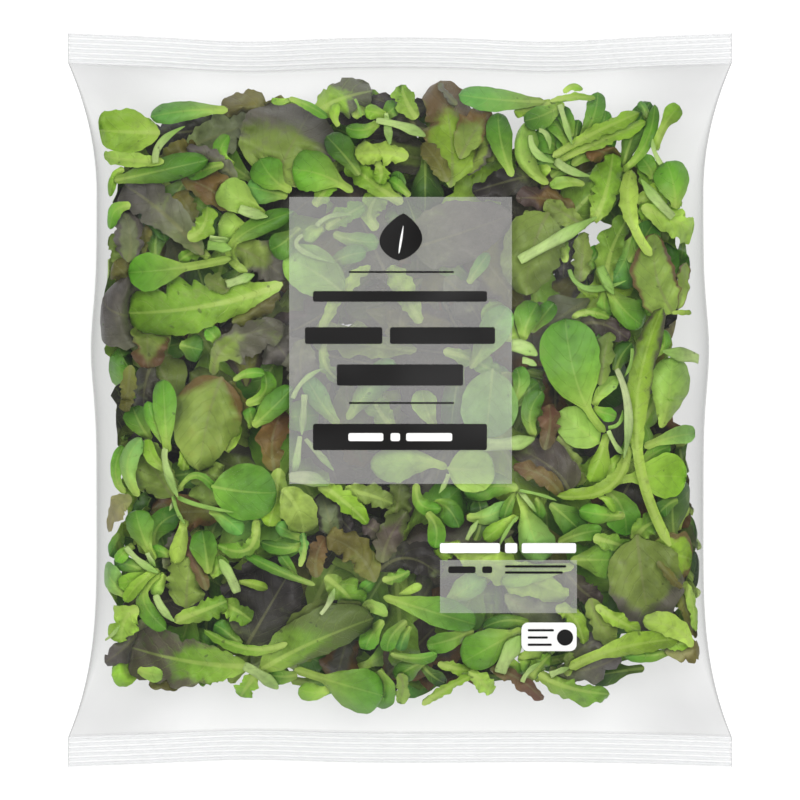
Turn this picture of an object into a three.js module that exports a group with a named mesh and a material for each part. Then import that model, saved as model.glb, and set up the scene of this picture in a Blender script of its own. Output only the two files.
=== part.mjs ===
// A pillow bag of salad leaves, lying on its back, in millimetres.
// The bag is a tube of clear film, crimped flat across both ends and closed along its back by a
// folded seam. Filled, the tube draws in at the waist and swells between the two flat seals.
// The bag is shut, so it is one closed solid: the film's outer form with all that it holds.
//
// X runs across the bag, Y along it from the bottom seal to the top seal, and Z up from the
// table. The origin is on the table, under the middle of the bag.

import * as THREE from "three";
import { LoftGeometry } from "three/addons/geometries/LoftGeometry.js";

// Driving dimensions
const bag = {
  length: 264, // end to end, with both seals
  flatWidth: 239, // the empty tube, as the end seals hold it
  waistWidth: 218, // the filled tube at its narrowest
  thickness: 61, // as it lies, to which the lumps below add up to 2
  sideHeight: 25, // the widest line above the table, at mid length
  bellyHeight: 2, // how far the contents bulge the sides once more, near mid length
  bellyPlace: 18, // where along Y that bulge is
  bellySpread: 20,
};

// Both end seals are corrugated strips, held level above the table by the film.
const seal = {
  depth: 10.5, // along Y
  ridges: 6,
  ridgeHeight: 0.45,
  thickness: 0.7,
  height: 13, // above the table
  wave: 1.6, // its slow rise and fall across the bag
};

// How each end of the tube narrows behind its seal, and how its edge dips between the corners
const topEnd = { side: 1, neckLength: 47, neckPower: 2, middleDip: 1.4, quarterDip: [1.6, 1.6] };
const bottomEnd = { side: -1, neckLength: 72, neckPower: 3, middleDip: 1.4, quarterDip: [1.1, 0.2] };
const quarterPlace = 56;
const quarterSpread = 28;

// The seam on the back: a strip of film folded over flat
const backSeam = { width: 11, thickness: 0.6, edge: 0.4 };

// The film's profile. A power over 2 makes a squarer pillow.
const profile = {
  lengthPower: 2.4,
  lengthRoot: 0.75,
  topPower: 2.4,
  topRoot: 0.55,
  underPower: 3,
  underRoot: 0.5,
  underPress: 1.12, // the underside would hang this much lower, and the table presses it flat
};

// Shallow creases that run from each corner of the seals towards the middle of the bag
const creases = { depth: 0.34, width: 7, reach: 46, startAcross: 0.93, angles: [28, 57] };

// Low lumps where leaves press on the film: direction in degrees, wavelength and phase
const lumpShare = 0.021;
const lumps = [
  { turn: 12, wave: 71, phase: 0.4 },
  { turn: 64, wave: 53, phase: 2.1 },
  { turn: 118, wave: 44, phase: 4.0 },
  { turn: 151, wave: 62, phase: 1.2 },
];

// Fineness of the mesh
const columns = 36; // across each face
const bodyRows = 30;
const rowsPerRidge = 2;

const bodyHalf = bag.length / 2 - seal.depth;

function clamp01(t) {
  return Math.min(1, Math.max(0, t));
}

function smooth(t) {
  return t * t * (3 - 2 * t);
}

function bell(distance, spread) {
  return Math.exp(-((distance / spread) ** 2));
}

function endAt(y) {
  return y >= 0 ? topEnd : bottomEnd;
}

// Half the bag's width at y: the waist, its belly, and the neck that opens to the flat seal
function halfWidth(y) {
  const end = endAt(y);
  const opening = (1 - clamp01((bodyHalf - Math.abs(y)) / end.neckLength)) ** end.neckPower;
  const belly = bag.bellyHeight * bell(y - bag.bellyPlace, bag.bellySpread);
  return bag.waistWidth / 2 + belly + ((bag.flatWidth - bag.waistWidth) / 2) * opening;
}

// 0 at the seals, 1 at mid length
function fullness(y) {
  const along = Math.min(1, Math.abs(y) / bodyHalf);
  return (1 - along ** profile.lengthPower) ** profile.lengthRoot;
}

// How far an end's edge dips at x. It is 0 at the corners.
function edgeDip(x, end) {
  const across = Math.min(1, Math.abs(x) / (bag.flatWidth / 2));
  const quarter = end.quarterDip[x < 0 ? 0 : 1] * bell(Math.abs(x) - quarterPlace, quarterSpread);
  return (end.middleDip + quarter) * (1 - across ** 4);
}

// The share by which creases sink the film
function creaseDepth(x, y) {
  const cornerX = Math.sign(x) * creases.startAcross * (bag.flatWidth / 2);
  const cornerY = Math.sign(y) * bodyHalf;
  let depth = 0;
  for (const angle of creases.angles) {
    const turn = THREE.MathUtils.degToRad(angle);
    const inX = (cornerX - x) * Math.sign(x);
    const inY = (cornerY - y) * Math.sign(y);
    const along = inX * Math.cos(turn) + inY * Math.sin(turn);
    const aside = inY * Math.cos(turn) - inX * Math.sin(turn);
    const fade = along < 0 ? 1 : bell(along, creases.reach);
    depth += creases.depth * fade * bell(aside, creases.width);
  }
  return Math.min(depth, 0.5);
}

function lumpHeight(x, y) {
  let height = 0;
  for (const lump of lumps) {
    const turn = THREE.MathUtils.degToRad(lump.turn);
    const along = x * Math.cos(turn) + y * Math.sin(turn);
    height += lumpShare * Math.sin((2 * Math.PI * along) / lump.wave + lump.phase);
  }
  return height;
}

// The height of the line that divides the upper film from the lower
function midHeight(x, y) {
  const across = x / (bag.flatWidth / 2);
  const wave = seal.wave * Math.cos(2 * Math.PI * across) * (1 - fullness(y));
  return seal.height + (bag.sideHeight - seal.height) * fullness(y) + wave;
}

function upperHeight(x, y) {
  const across = Math.min(1, Math.abs(x) / halfWidth(y));
  const dome = (1 - across ** profile.topPower) ** profile.topRoot;
  const swell = (bag.thickness - bag.sideHeight) * fullness(y) * dome;
  return midHeight(x, y) + seal.thickness / 2 + swell * (1 + lumpHeight(x, y) - creaseDepth(x, y));
}

// The underside, with the seam standing off it, pressed flat where it meets the table
function lowerHeight(x, y) {
  const across = Math.min(1, Math.abs(x) / halfWidth(y));
  const belly = (1 - across ** profile.underPower) ** profile.underRoot;
  const swell = bag.sideHeight * profile.underPress * fullness(y) * belly;
  const seam = Math.abs(x) <= backSeam.width / 2 ? backSeam.thickness : 0;
  const relief = 1 - lumpHeight(x, y) - creaseDepth(x, y);
  return Math.max(0, midHeight(x, y) - seal.thickness / 2 - swell * relief - seam);
}

// The places across one face at y, closer together at the sides. The lower face has four more,
// at the edges of the back seam.
function placesAcross(y, lower) {
  const places = [];
  for (let i = 0; i <= columns; i++) {
    places.push(-halfWidth(y) * Math.cos((Math.PI * i) / columns));
  }
  if (lower) {
    const half = backSeam.width / 2;
    places.push(-half - backSeam.edge, -half, half, half + backSeam.edge);
    places.sort((a, b) => a - b);
  }
  return places;
}

// One closed section: over the upper face and back under the lower, with a point at each side
// on the dividing line. place(x) gives Y, and the heights are read at the section's own y.
function section(y, place, ridge) {
  const points = [];
  const upper = placesAcross(y, false);
  const lower = placesAcross(y, true).slice(1, -1).reverse();
  for (const [i, x] of upper.entries()) {
    const z = i === 0 || i === columns ? midHeight(x, y) : upperHeight(x, y);
    points.push(new THREE.Vector3(x, place(x), z + ridge));
  }
  for (const x of lower) {
    points.push(new THREE.Vector3(x, place(x), lowerHeight(x, y) + ridge));
  }
  return points;
}

// The sections of one corrugated seal, from its outer end inwards
function sealSections(end) {
  const rows = seal.ridges * rowsPerRidge;
  const sections = [];
  for (let row = 0; row < rows; row++) {
    const fromEnd = (seal.depth * row) / rows;
    const ridge = seal.ridgeHeight * Math.cos((2 * Math.PI * row) / rowsPerRidge);
    const place = (x) => end.side * (bag.length / 2 - fromEnd - edgeDip(x, end));
    sections.push(section(end.side * bodyHalf, place, ridge));
  }
  return sections;
}

// The sections of the swollen body, bottom to top, closer together near the seals
function bodySections() {
  const sections = [];
  for (let row = 0; row <= bodyRows; row++) {
    const y = -bodyHalf * Math.cos((Math.PI * row) / bodyRows);
    const end = endAt(y);
    const follow = smooth(Math.abs(y) / bodyHalf) ** 3;
    const place = (x) => y - end.side * follow * edgeDip(x, end);
    sections.push(section(y, place, 0));
  }
  return sections;
}

function makeBag() {
  const sections = [...sealSections(bottomEnd), ...bodySections(), ...sealSections(topEnd).reverse()];
  const geometry = new LoftGeometry(sections, { capStart: true, capEnd: true });
  const material = new THREE.MeshStandardMaterial({
    color: 0xe1e3df,
    roughness: 0.28,
    metalness: 0,
  });
  const mesh = new THREE.Mesh(geometry, material);
  mesh.name = "salad_bag";
  return mesh;
}

const pack = new THREE.Group();
pack.name = "bag_of_salad_leaves";
pack.add(makeBag());

export default pack;
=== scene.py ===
import math
import bpy
import numpy as np
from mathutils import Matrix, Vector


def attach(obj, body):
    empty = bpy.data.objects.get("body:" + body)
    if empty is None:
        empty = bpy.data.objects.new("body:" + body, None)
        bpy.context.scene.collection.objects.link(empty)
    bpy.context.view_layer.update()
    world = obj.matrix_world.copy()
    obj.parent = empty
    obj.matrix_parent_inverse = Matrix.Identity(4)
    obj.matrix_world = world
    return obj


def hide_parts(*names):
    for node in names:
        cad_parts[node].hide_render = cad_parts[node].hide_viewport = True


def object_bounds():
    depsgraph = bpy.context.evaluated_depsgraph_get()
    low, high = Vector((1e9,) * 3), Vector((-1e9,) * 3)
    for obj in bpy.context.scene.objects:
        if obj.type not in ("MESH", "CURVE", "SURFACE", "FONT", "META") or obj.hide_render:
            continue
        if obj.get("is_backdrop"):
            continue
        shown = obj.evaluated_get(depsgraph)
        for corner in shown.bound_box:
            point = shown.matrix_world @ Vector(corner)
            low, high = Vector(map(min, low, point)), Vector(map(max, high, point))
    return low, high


# A clear pillow bag of salad leaves, lying on its back. Lengths are in millimetres until a mesh is made.
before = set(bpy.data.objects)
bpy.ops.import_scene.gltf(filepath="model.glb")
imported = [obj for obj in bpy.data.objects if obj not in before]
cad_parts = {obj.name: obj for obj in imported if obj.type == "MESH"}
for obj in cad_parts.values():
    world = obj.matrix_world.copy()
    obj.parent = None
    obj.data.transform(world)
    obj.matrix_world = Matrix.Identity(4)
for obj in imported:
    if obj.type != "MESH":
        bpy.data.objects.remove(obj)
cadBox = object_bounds()
print("frame loaded")

mm = 0.001

bag = {
    "length": 264, "flatWidth": 239, "waistWidth": 218, "thickness": 61, "sideHeight": 25,
    "bellyHeight": 2, "bellyPlace": 18, "bellySpread": 20,
    "sealDepth": 10.5, "ridges": 6, "ridgeHeight": 0.42,
    "sealThickness": 0.7, "sealHeight": 13, "sealWave": 1.6,
    "neckLength": (72, 47), "neckPower": (3, 2), "middleDip": 1.4,  # bottom end, top end
    "quarterDip": ((1.1, 0.2), (1.6, 1.6)),  # left and right of the bottom end, then of the top end
    "quarterPlace": 56, "quarterSpread": 28,
    "seamWidth": 11, "seamThickness": 0.6, "seamEdge": 0.4,
    "lengthPower": 2.4, "lengthRoot": 0.75, "topPower": 2.4, "topRoot": 0.55,
    "underPower": 3, "underRoot": 0.5, "underPress": 1.12,
    "creaseDepth": 0.34, "creaseWidth": 7, "creaseReach": 46, "creaseStart": 0.93, "creaseAngles": (28, 57),
    "lumpShare": 0.021,
    "lumps": ((12, 71, 0.4), (64, 53, 2.1), (118, 44, 4.0), (151, 62, 1.2)),  # direction, wavelength, phase
    # scene only: fine wrinkles in the film, as direction, wavelength, phase and height
    "wrinkles": ((8, 23, 0.3, 0.10), (97, 19, 1.9, 0.08), (52, 31, 4.4, 0.12), (139, 27, 2.7, 0.10)),
    "wrinkleFrom": 8, "underWrinkles": 0.7,  # where they reach full height, and their share underneath
    "gatherHeight": 0.34, "gatherWave": 15, "gatherReach": 24,  # short gathers behind each seal
}
bodyHalf = bag["length"] / 2 - bag["sealDepth"]


# t held between 0 and 1
def clamp01(t):
    return np.clip(t, 0.0, 1.0)


# t * t * (3 - 2 t), a step from 0 to 1 with soft ends
def smooth(t):
    t = clamp01(t)
    return t * t * (3 - 2 * t)


# 1 at the centre, falling off as the square of distance over spread
def bell(distance, spread):
    return np.exp(-((distance / spread) ** 2))


# the value for the top end where y is positive, and for the bottom end elsewhere
def byEnd(y, pair):
    return np.where(y >= 0, pair[1], pair[0])


# half the bag's width at y: waist, belly, and the neck that opens to the flat seal
def halfWidth(y):
    fromEnd = clamp01((bodyHalf - np.abs(y)) / byEnd(y, bag["neckLength"]))
    opening = (1 - fromEnd) ** byEnd(y, bag["neckPower"])
    belly = bag["bellyHeight"] * bell(y - bag["bellyPlace"], bag["bellySpread"])
    return bag["waistWidth"] / 2 + belly + (bag["flatWidth"] - bag["waistWidth"]) / 2 * opening


# 0 at the seals, 1 at mid length
def fullness(y):
    return (1 - np.minimum(1, np.abs(y) / bodyHalf) ** bag["lengthPower"]) ** bag["lengthRoot"]


# how far an end's edge dips at x, 0 at the corners
def edgeDip(x, y):
    across = np.minimum(1, np.abs(x) / (bag["flatWidth"] / 2))
    bottom, top = bag["quarterDip"]
    quarter = np.where(y >= 0, np.where(x < 0, top[0], top[1]), np.where(x < 0, bottom[0], bottom[1]))
    quarter = quarter * bell(np.abs(x) - bag["quarterPlace"], bag["quarterSpread"])
    return (bag["middleDip"] + quarter) * (1 - across ** 4)


# the share by which creases from the seals' corners sink the film
def creaseDepth(x, y):
    inX = (np.sign(x) * bag["creaseStart"] * bag["flatWidth"] / 2 - x) * np.sign(x)
    inY = (np.sign(y) * bodyHalf - y) * np.sign(y)
    depth = 0.0
    for angle in bag["creaseAngles"]:
        turn = math.radians(angle)
        along = inX * math.cos(turn) + inY * math.sin(turn)
        aside = inY * math.cos(turn) - inX * math.sin(turn)
        fade = np.where(along < 0, 1.0, bell(along, bag["creaseReach"]))
        depth = depth + bag["creaseDepth"] * fade * bell(aside, bag["creaseWidth"])
    return np.minimum(depth, 0.5)


# a sum of long sine waves where leaves press on the film
def lumpHeight(x, y):
    height = 0.0
    for turn, wave, phase in bag["lumps"]:
        along = x * math.cos(math.radians(turn)) + y * math.sin(math.radians(turn))
        height = height + bag["lumpShare"] * np.sin(2 * math.pi * along / wave + phase)
    return height


# fine sine wrinkles that bend one another, and gathers that run out of the seals
def wrinkleHeight(x, y):
    height = 0.0
    for turn, wave, phase, size in bag["wrinkles"]:
        c, s = math.cos(math.radians(turn)), math.sin(math.radians(turn))
        along, aside = x * c + y * s, y * c - x * s
        bend = 4.0 * np.sin(aside / 17 + phase)
        height = height + size * np.sin(2 * math.pi * (along + bend) / wave + phase)
    fromSeal = bodyHalf - np.abs(y)
    reach = smooth(fromSeal / 4) * np.exp(-fromSeal / bag["gatherReach"])
    drift = 5 * np.sin(x / 23 + np.sign(y)) + 0.12 * fromSeal * np.sin(x / 31)
    gather = bag["gatherHeight"] * reach * np.sin(2 * math.pi * (x + drift) / bag["gatherWave"])
    return height * smooth(fromSeal / 25) + gather


# the height of the line that divides the upper film from the lower
def midHeight(x, y):
    wave = bag["sealWave"] * np.cos(2 * math.pi * x / (bag["flatWidth"] / 2)) * (1 - fullness(y))
    return bag["sealHeight"] + (bag["sideHeight"] - bag["sealHeight"]) * fullness(y) + wave


# middle line + half the seal + swell * dome * (1 + lumps - creases), with fine wrinkles on the dome
def upperHeight(x, y):
    across = np.minimum(1, np.abs(x) / halfWidth(y))
    dome = (1 - across ** bag["topPower"]) ** bag["topRoot"]
    swell = (bag["thickness"] - bag["sideHeight"]) * fullness(y) * dome
    relief = 1 + lumpHeight(x, y) - creaseDepth(x, y)
    wrinkles = wrinkleHeight(x, y) * smooth(swell / bag["wrinkleFrom"])
    return midHeight(x, y) + bag["sealThickness"] / 2 + swell * relief + wrinkles


# the underside, pressed flat by the table, with the folded seam standing off it
def lowerHeight(x, y, seam=True):
    across = np.minimum(1, np.abs(x) / halfWidth(y))
    belly = (1 - across ** bag["underPower"]) ** bag["underRoot"]
    swell = bag["sideHeight"] * bag["underPress"] * fullness(y) * belly
    fold = np.where(np.abs(x) <= bag["seamWidth"] / 2 + 0.01, bag["seamThickness"], 0.0) if seam else 0.0
    relief = 1 - lumpHeight(x, y) - creaseDepth(x, y)
    height = midHeight(x, y) - bag["sealThickness"] / 2 - swell * relief - fold
    wrinkles = wrinkleHeight(-x, y) * smooth(swell / bag["wrinkleFrom"]) * bag["underWrinkles"]
    return np.maximum(0, height + wrinkles)


# the section that a true place y belongs to, found by repeating y + side * follow * dip
def sectionAt(x, y):
    place = np.array(y, dtype=float)
    for _ in range(4):
        follow = smooth(np.abs(place) / bodyHalf) ** 3
        place = np.clip(y + np.sign(place) * follow * edgeDip(x, place), -bodyHalf, bodyHalf)
    return place


# an 8-bit screen colour as linear light
def linear(color):
    c = np.asarray(color, dtype=float) / 255
    return np.where(c <= 0.04045, c / 12.92, ((c + 0.055) / 1.055) ** 2.4)


# makes a mesh object from points in millimetres and triangles, with values for each point
def makePiece(name, points, triangles, material, colors=None, places=None, sharpAngle=None):
    mesh = bpy.data.meshes.new(name)
    count = len(triangles)
    mesh.vertices.add(len(points))
    mesh.vertices.foreach_set("co", (np.asarray(points, dtype=np.float64) * mm).ravel())
    mesh.loops.add(count * 3)
    mesh.loops.foreach_set("vertex_index", triangles.astype(np.int32).ravel())
    mesh.polygons.add(count)
    mesh.polygons.foreach_set("loop_start", np.arange(0, count * 3, 3, dtype=np.int32))
    mesh.polygons.foreach_set("loop_total", np.full(count, 3, dtype=np.int32))
    mesh.polygons.foreach_set("use_smooth", np.ones(count, dtype=bool))
    mesh.update(calc_edges=True)
    for label, values in (colors or {}).items():
        attribute = mesh.color_attributes.new(label, "FLOAT_COLOR", "POINT")
        attribute.data.foreach_set("color", np.asarray(values, dtype=np.float32).ravel())
    if places is not None:
        layer = mesh.uv_layers.new(name="leafPlace")
        layer.data.foreach_set("uv", np.asarray(places, dtype=np.float32)[triangles.ravel()].ravel())
    mesh.validate()
    if sharpAngle:
        mesh.set_sharp_from_angle(angle=math.radians(sharpAngle))
    mesh.materials.append(material)
    piece = bpy.data.objects.new(name, mesh)
    bpy.context.scene.collection.objects.link(piece)
    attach(piece, "root")
    print(name, len(points), "points,", count, "triangles")
    return piece


# triangles of a closed sheet: an upper and a lower grid that share their border, both split alike. Two
# corner cells are split the other way, as the two faces would share a whole triangle there.
def sheetTriangles(rows, columns):
    upper = np.arange(rows * columns).reshape(rows, columns)
    lower = upper.copy()
    lower[1:-1, 1:-1] = rows * columns + np.arange((rows - 2) * (columns - 2)).reshape(rows - 2, columns - 2)
    turned = np.zeros((rows - 1, columns - 1, 1), dtype=bool)
    turned[0, -1] = turned[-1, 0] = True
    triangles = []
    for grid, order in ((upper, 1), (lower, -1)):
        a, b, c, d = grid[:-1, :-1], grid[1:, :-1], grid[1:, 1:], grid[:-1, 1:]
        first = np.where(turned, np.stack([a, b, d], -1), np.stack([a, b, c], -1))
        second = np.where(turned, np.stack([b, c, d], -1), np.stack([a, c, d], -1))
        triangles.append(np.concatenate([first.reshape(-1, 3), second.reshape(-1, 3)])[:, ::order])
    return np.concatenate(triangles)


# the points of such a sheet, from grids shaped rows * columns * n
def sheetPoints(upper, lower):
    width = upper.shape[-1]
    return np.concatenate([upper.reshape(-1, width), lower[1:-1, 1:-1].reshape(-1, width)])


# Materials

# a node and its input values, by name or as i and a number; a value that is a socket is linked
def addNode(tree, kind, settings=None, **inputs):
    node = tree.nodes.new(kind)
    for key, value in (settings or {}).items():
        setattr(node, key, value)
    for key, value in inputs.items():
        byNumber = key[0] == "i" and key[1:].isdigit()
        socket = node.inputs[int(key[1:]) if byNumber else key.replace("_", " ")]
        if isinstance(value, bpy.types.NodeSocket):
            tree.links.new(value, socket)
        else:
            socket.default_value = value
    return node


# the result of a math node with one, two or three values
def addMath(tree, operation, first, second=None, third=None):
    values = {"i0": first}
    if second is not None:
        values["i1"] = second
    if third is not None:
        values["i2"] = third
    return addNode(tree, "ShaderNodeMath", {"operation": operation}, **values).outputs[0]


# a soft step from 0 to 1 as value goes from low to high
def addStep(tree, value, low, high):
    settings = {"interpolation_type": "SMOOTHSTEP"}
    node = addNode(tree, "ShaderNodeMapRange", settings, Value=value, From_Min=low, From_Max=high)
    return node.outputs[0]


# first with share of second mixed in, or blended with it in another way
def addMix(tree, share, first, second, blend="MIX"):
    node = tree.nodes.new("ShaderNodeMix")
    node.data_type = "RGBA"
    node.blend_type = blend
    for socket, value in ((node.inputs[0], share), (node.inputs[6], first), (node.inputs[7], second)):
        if isinstance(value, bpy.types.NodeSocket):
            tree.links.new(value, socket)
        else:
            socket.default_value = value
    return node.outputs[2]


# a new material, its node tree and its principled shader
def newMaterial(name):
    material = bpy.data.materials.new(name)
    material.use_nodes = True
    tree = material.node_tree
    shader = tree.nodes["Principled BSDF"]
    return material, tree, shader


# an 8-bit screen colour as the four numbers of a colour socket
def solidColor(color):
    return (*[float(v) for v in linear(color)], 1.0)


filmLook = {
    "clearColor": (84, 86, 87), "clearAlpha": 0.12, "slantAlpha": 0.43,  # seen straight on, and at a slant
    "slantFrom": 0.12, "slantTo": 0.62,  # how far the film turns away at the first and at the second
    # behind the seals the film is clearer where the two films come close, and painted lighter to lift the
    # shade that falls there
    "endLightColor": (150, 152, 153), "endAlpha": 0.10,  # behind the seals
    # in the corners there the film is painted greyer, as shade in its hollows
    "cornerAlpha": 0.05,  # what the corners there add
    # painted shade in the seals' grooves and painted highlights on their ridges
    "grooveShade": (228, 229, 230), "ridgeHighlight": (250, 250, 250),  # the seals' grooves and ridges
    "sealAlpha": 0.5, "roughness": 0.16, "shine": 0.35,
}


# clear film: alpha rises where it is seen at a slant, and the crimped seals are milky, with painted
# highlights on their ridges and painted shade in their grooves. The attribute filmPlace holds, as red,
# green, blue and alpha, the seals, their ridges, the ends behind them and the corners of those.
def makeFilmMaterial():
    material, tree, shader = newMaterial("film")
    held = addNode(tree, "ShaderNodeAttribute", {"attribute_name": "filmPlace"})
    parts = addNode(tree, "ShaderNodeSeparateColor", None, Color=held.outputs["Color"])
    seal, ridge, near = (parts.outputs[label] for label in ("Red", "Green", "Blue"))
    slant = addNode(tree, "ShaderNodeLayerWeight", None, Blend=0.3).outputs["Facing"]
    clear = addNode(tree, "ShaderNodeMapRange", None, Value=slant, From_Min=filmLook["slantFrom"],
                    From_Max=filmLook["slantTo"], To_Min=filmLook["clearAlpha"],
                    To_Max=filmLook["slantAlpha"]).outputs[0]
    toEnd = addMath(tree, "SUBTRACT", filmLook["endAlpha"], clear)
    clear = addMath(tree, "MULTIPLY_ADD", toEnd, near, clear)
    # painted shade: the corners behind the seals made greyer
    clear = addMath(tree, "MULTIPLY_ADD", held.outputs["Alpha"], filmLook["cornerAlpha"], clear)
    toSeal = addMath(tree, "SUBTRACT", filmLook["sealAlpha"], clear)
    clear = addMath(tree, "MULTIPLY_ADD", toSeal, seal, clear)
    tree.links.new(clear, shader.inputs["Alpha"])
    # behind the seals the film's colour is painted lighter, lifting the shade there
    color = addMix(tree, near, solidColor(filmLook["clearColor"]), solidColor(filmLook["endLightColor"]))
    # on the seals: painted shade in the grooves and painted highlights on the ridges
    crimpLightAndShade = addMix(tree, ridge, solidColor(filmLook["grooveShade"]), solidColor(filmLook["ridgeHighlight"]))
    color = addMix(tree, seal, color, crimpLightAndShade)
    tree.links.new(color, shader.inputs["Base Color"])
    shader.inputs["Roughness"].default_value = filmLook["roughness"]
    shader.inputs["Specular IOR Level"].default_value = filmLook["shine"]
    return material


leafLook = {
    "roughness": 0.40, "shine": 0.25, "bump": 0.5, "bumpHeight": 0.5,  # the last in mm
    "mottleAndShade": 0.24, "wideScale": 75.0, "wideShare": 1.3, "fineShare": 0.7,  # patches, and how they are mixed
    "blushEdge": 0.5, "blushSoft": 0.45, "blushUneven": 1.5, "blushMost": 0.9,
    "greenVein": (188, 214, 106), "redVein": (138, 140, 92),
    "veinSpacing": 5.4, "veinDepth": -0.6,  # mm between side veins, and how they press into the blade
    "netScale": 620.0, "netShare": 0.35, "ribShare": 0.9,  # the fine net of veins, and the midrib
    "speckColor": (52, 58, 34), "speckScale": 330.0, "speckFrom": 0.73, "speckTo": 0.79, "speckShare": 0.5,
}
leafSkins = {  # how strong the veins are, how high the blisters and how fine the grain
    "lambs": {"piece": "lambs_lettuce", "slot": "leaf_green", "material": "lambs_leaf",
              "veins": 0.35, "blister": 0.5, "grain": 260.0, "veinColor": "greenVein", "sharpAngle": 75},
    "green": {"piece": "green_lettuce", "slot": "leaf_green", "material": "lettuce_leaf",
              "veins": 0.45, "blister": 1.3, "grain": 300.0, "veinColor": "greenVein", "sharpAngle": 75},
    "red": {"piece": "red_lettuce", "slot": "leaf_red", "material": "red_leaf",
            "veins": 0.4, "blister": 1.3, "grain": 280.0, "veinColor": "redVein", "sharpAngle": 75},
    "stalks": {"piece": "cut_stalks", "slot": "leaf_green", "material": "stalk_skin",
               "veins": 0.2, "blister": 0.4, "grain": 260.0, "veinColor": "greenVein", "sharpAngle": 75},
}


# a leaf: its tone with soft mottling, partly its own and partly painted shade of folds, blushed in uneven
# patches, then pale side veins and midrib; the tint's alpha is the midrib's strength and the blush's alpha
# is how much of the blush shows
def makeLeafMaterial(skin):
    material, tree, shader = newMaterial(skin["material"])
    place = addNode(tree, "ShaderNodeTexCoord").outputs["Object"]
    tint = addNode(tree, "ShaderNodeAttribute", {"attribute_name": "leafTint"})
    blush = addNode(tree, "ShaderNodeAttribute", {"attribute_name": "leafBlush"})
    surface = addNode(tree, "ShaderNodeUVMap", {"uv_map": "leafPlace"}).outputs[0]
    parts = addNode(tree, "ShaderNodeSeparateXYZ", None, Vector=surface)
    aside = addMath(tree, "MULTIPLY_ADD", parts.outputs["X"], 100.0, -50.0)  # mm from the midrib
    aside = addMath(tree, "ABSOLUTE", aside)
    ahead = addMath(tree, "MULTIPLY", parts.outputs["Y"], 100.0)  # mm from the foot
    strength = tint.outputs["Alpha"]

    wide = addNode(tree, "ShaderNodeTexNoise", None, Vector=place, Scale=leafLook["wideScale"], Detail=3.0,
                   Roughness=0.6).outputs[0]
    fine = addNode(tree, "ShaderNodeTexNoise", None, Vector=place, Scale=skin["grain"], Detail=4.0,
                   Roughness=0.62).outputs[0]
    wideShare = addMath(tree, "MULTIPLY", wide, leafLook["wideShare"])
    fineShare = addMath(tree, "MULTIPLY", fine, leafLook["fineShare"])
    change = addMath(tree, "SUBTRACT", addMath(tree, "ADD", wideShare, fineShare), 1.0)
    # the mottling: partly the leaf's own tone, partly painted shade of folds
    shade = addMath(tree, "MULTIPLY_ADD", change, leafLook["mottleAndShade"] * 4, 1.0)
    base = addMix(tree, 1.0, tint.outputs["Color"], shade, "MULTIPLY")
    patch = addMath(tree, "MULTIPLY_ADD", change, leafLook["blushUneven"], blush.outputs["Alpha"])
    share = addStep(tree, patch, leafLook["blushEdge"] - leafLook["blushSoft"],
                    leafLook["blushEdge"] + leafLook["blushSoft"])
    share = addMath(tree, "MULTIPLY", share, leafLook["blushMost"])
    base = addMix(tree, share, base, blush.outputs["Color"])

    # side veins: lines of equal ahead - 0.5 aside - 0.28 aside ** 1.5, a little wavy, and a fine net
    wobble = addMath(tree, "MULTIPLY_ADD", wide, 5.0, addMath(tree, "MULTIPLY", fine, 1.4))
    bow = addMath(tree, "MULTIPLY", addMath(tree, "POWER", aside, 1.5), -0.28)
    back = addMath(tree, "MULTIPLY_ADD", aside, -0.5, bow)
    slanted = addMath(tree, "ADD", back, addMath(tree, "ADD", ahead, wobble))
    cycle = addMath(tree, "FRACT", addMath(tree, "DIVIDE", slanted, leafLook["veinSpacing"]))
    fromLine = addMath(tree, "ABSOLUTE", addMath(tree, "SUBTRACT", cycle, 0.5))
    line = addStep(tree, fromLine, 0.065, 0.01)
    net = addNode(tree, "ShaderNodeTexVoronoi", {"feature": "DISTANCE_TO_EDGE"}, Vector=place,
                  Scale=leafLook["netScale"]).outputs[0]
    net = addMath(tree, "MULTIPLY", addStep(tree, net, 0.09, 0.0), leafLook["netShare"])
    lines = addMath(tree, "MAXIMUM", line, net)
    lines = addMath(tree, "MULTIPLY", lines, addMath(tree, "MULTIPLY", strength, skin["veins"]))
    lines = addMath(tree, "MULTIPLY", lines, addStep(tree, wide, 0.3, 0.6))
    vein = solidColor(leafLook[skin["veinColor"]])
    base = addMix(tree, lines, base, vein)
    ribWidth = addMath(tree, "MULTIPLY_ADD", strength, 1.2, 0.08)
    rib = addStep(tree, addMath(tree, "DIVIDE", aside, ribWidth), 1.2, 0.4)
    rib = addMath(tree, "MULTIPLY", rib, addMath(tree, "MULTIPLY", strength, leafLook["ribShare"]))
    base = addMix(tree, rib, base, vein)

    dots = addNode(tree, "ShaderNodeTexNoise", None, Vector=place, Scale=leafLook["speckScale"],
                   Detail=1.0).outputs[0]
    dots = addStep(tree, dots, leafLook["speckFrom"], leafLook["speckTo"])
    dots = addMath(tree, "MULTIPLY", dots, leafLook["speckShare"])
    base = addMix(tree, dots, base, solidColor(leafLook["speckColor"]))
    tree.links.new(base, shader.inputs["Base Color"])
    blisters = addMath(tree, "MULTIPLY", fine, skin["blister"])
    relief = addMath(tree, "MULTIPLY_ADD", line, leafLook["veinDepth"], blisters)
    bump = addNode(tree, "ShaderNodeBump", None, Height=relief, Strength=leafLook["bump"],
                   Distance=leafLook["bumpHeight"] * mm)
    tree.links.new(bump.outputs[0], shader.inputs["Normal"])
    shader.inputs["Roughness"].default_value = leafLook["roughness"]
    shader.inputs["Specular IOR Level"].default_value = leafLook["shine"]
    return material


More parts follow.
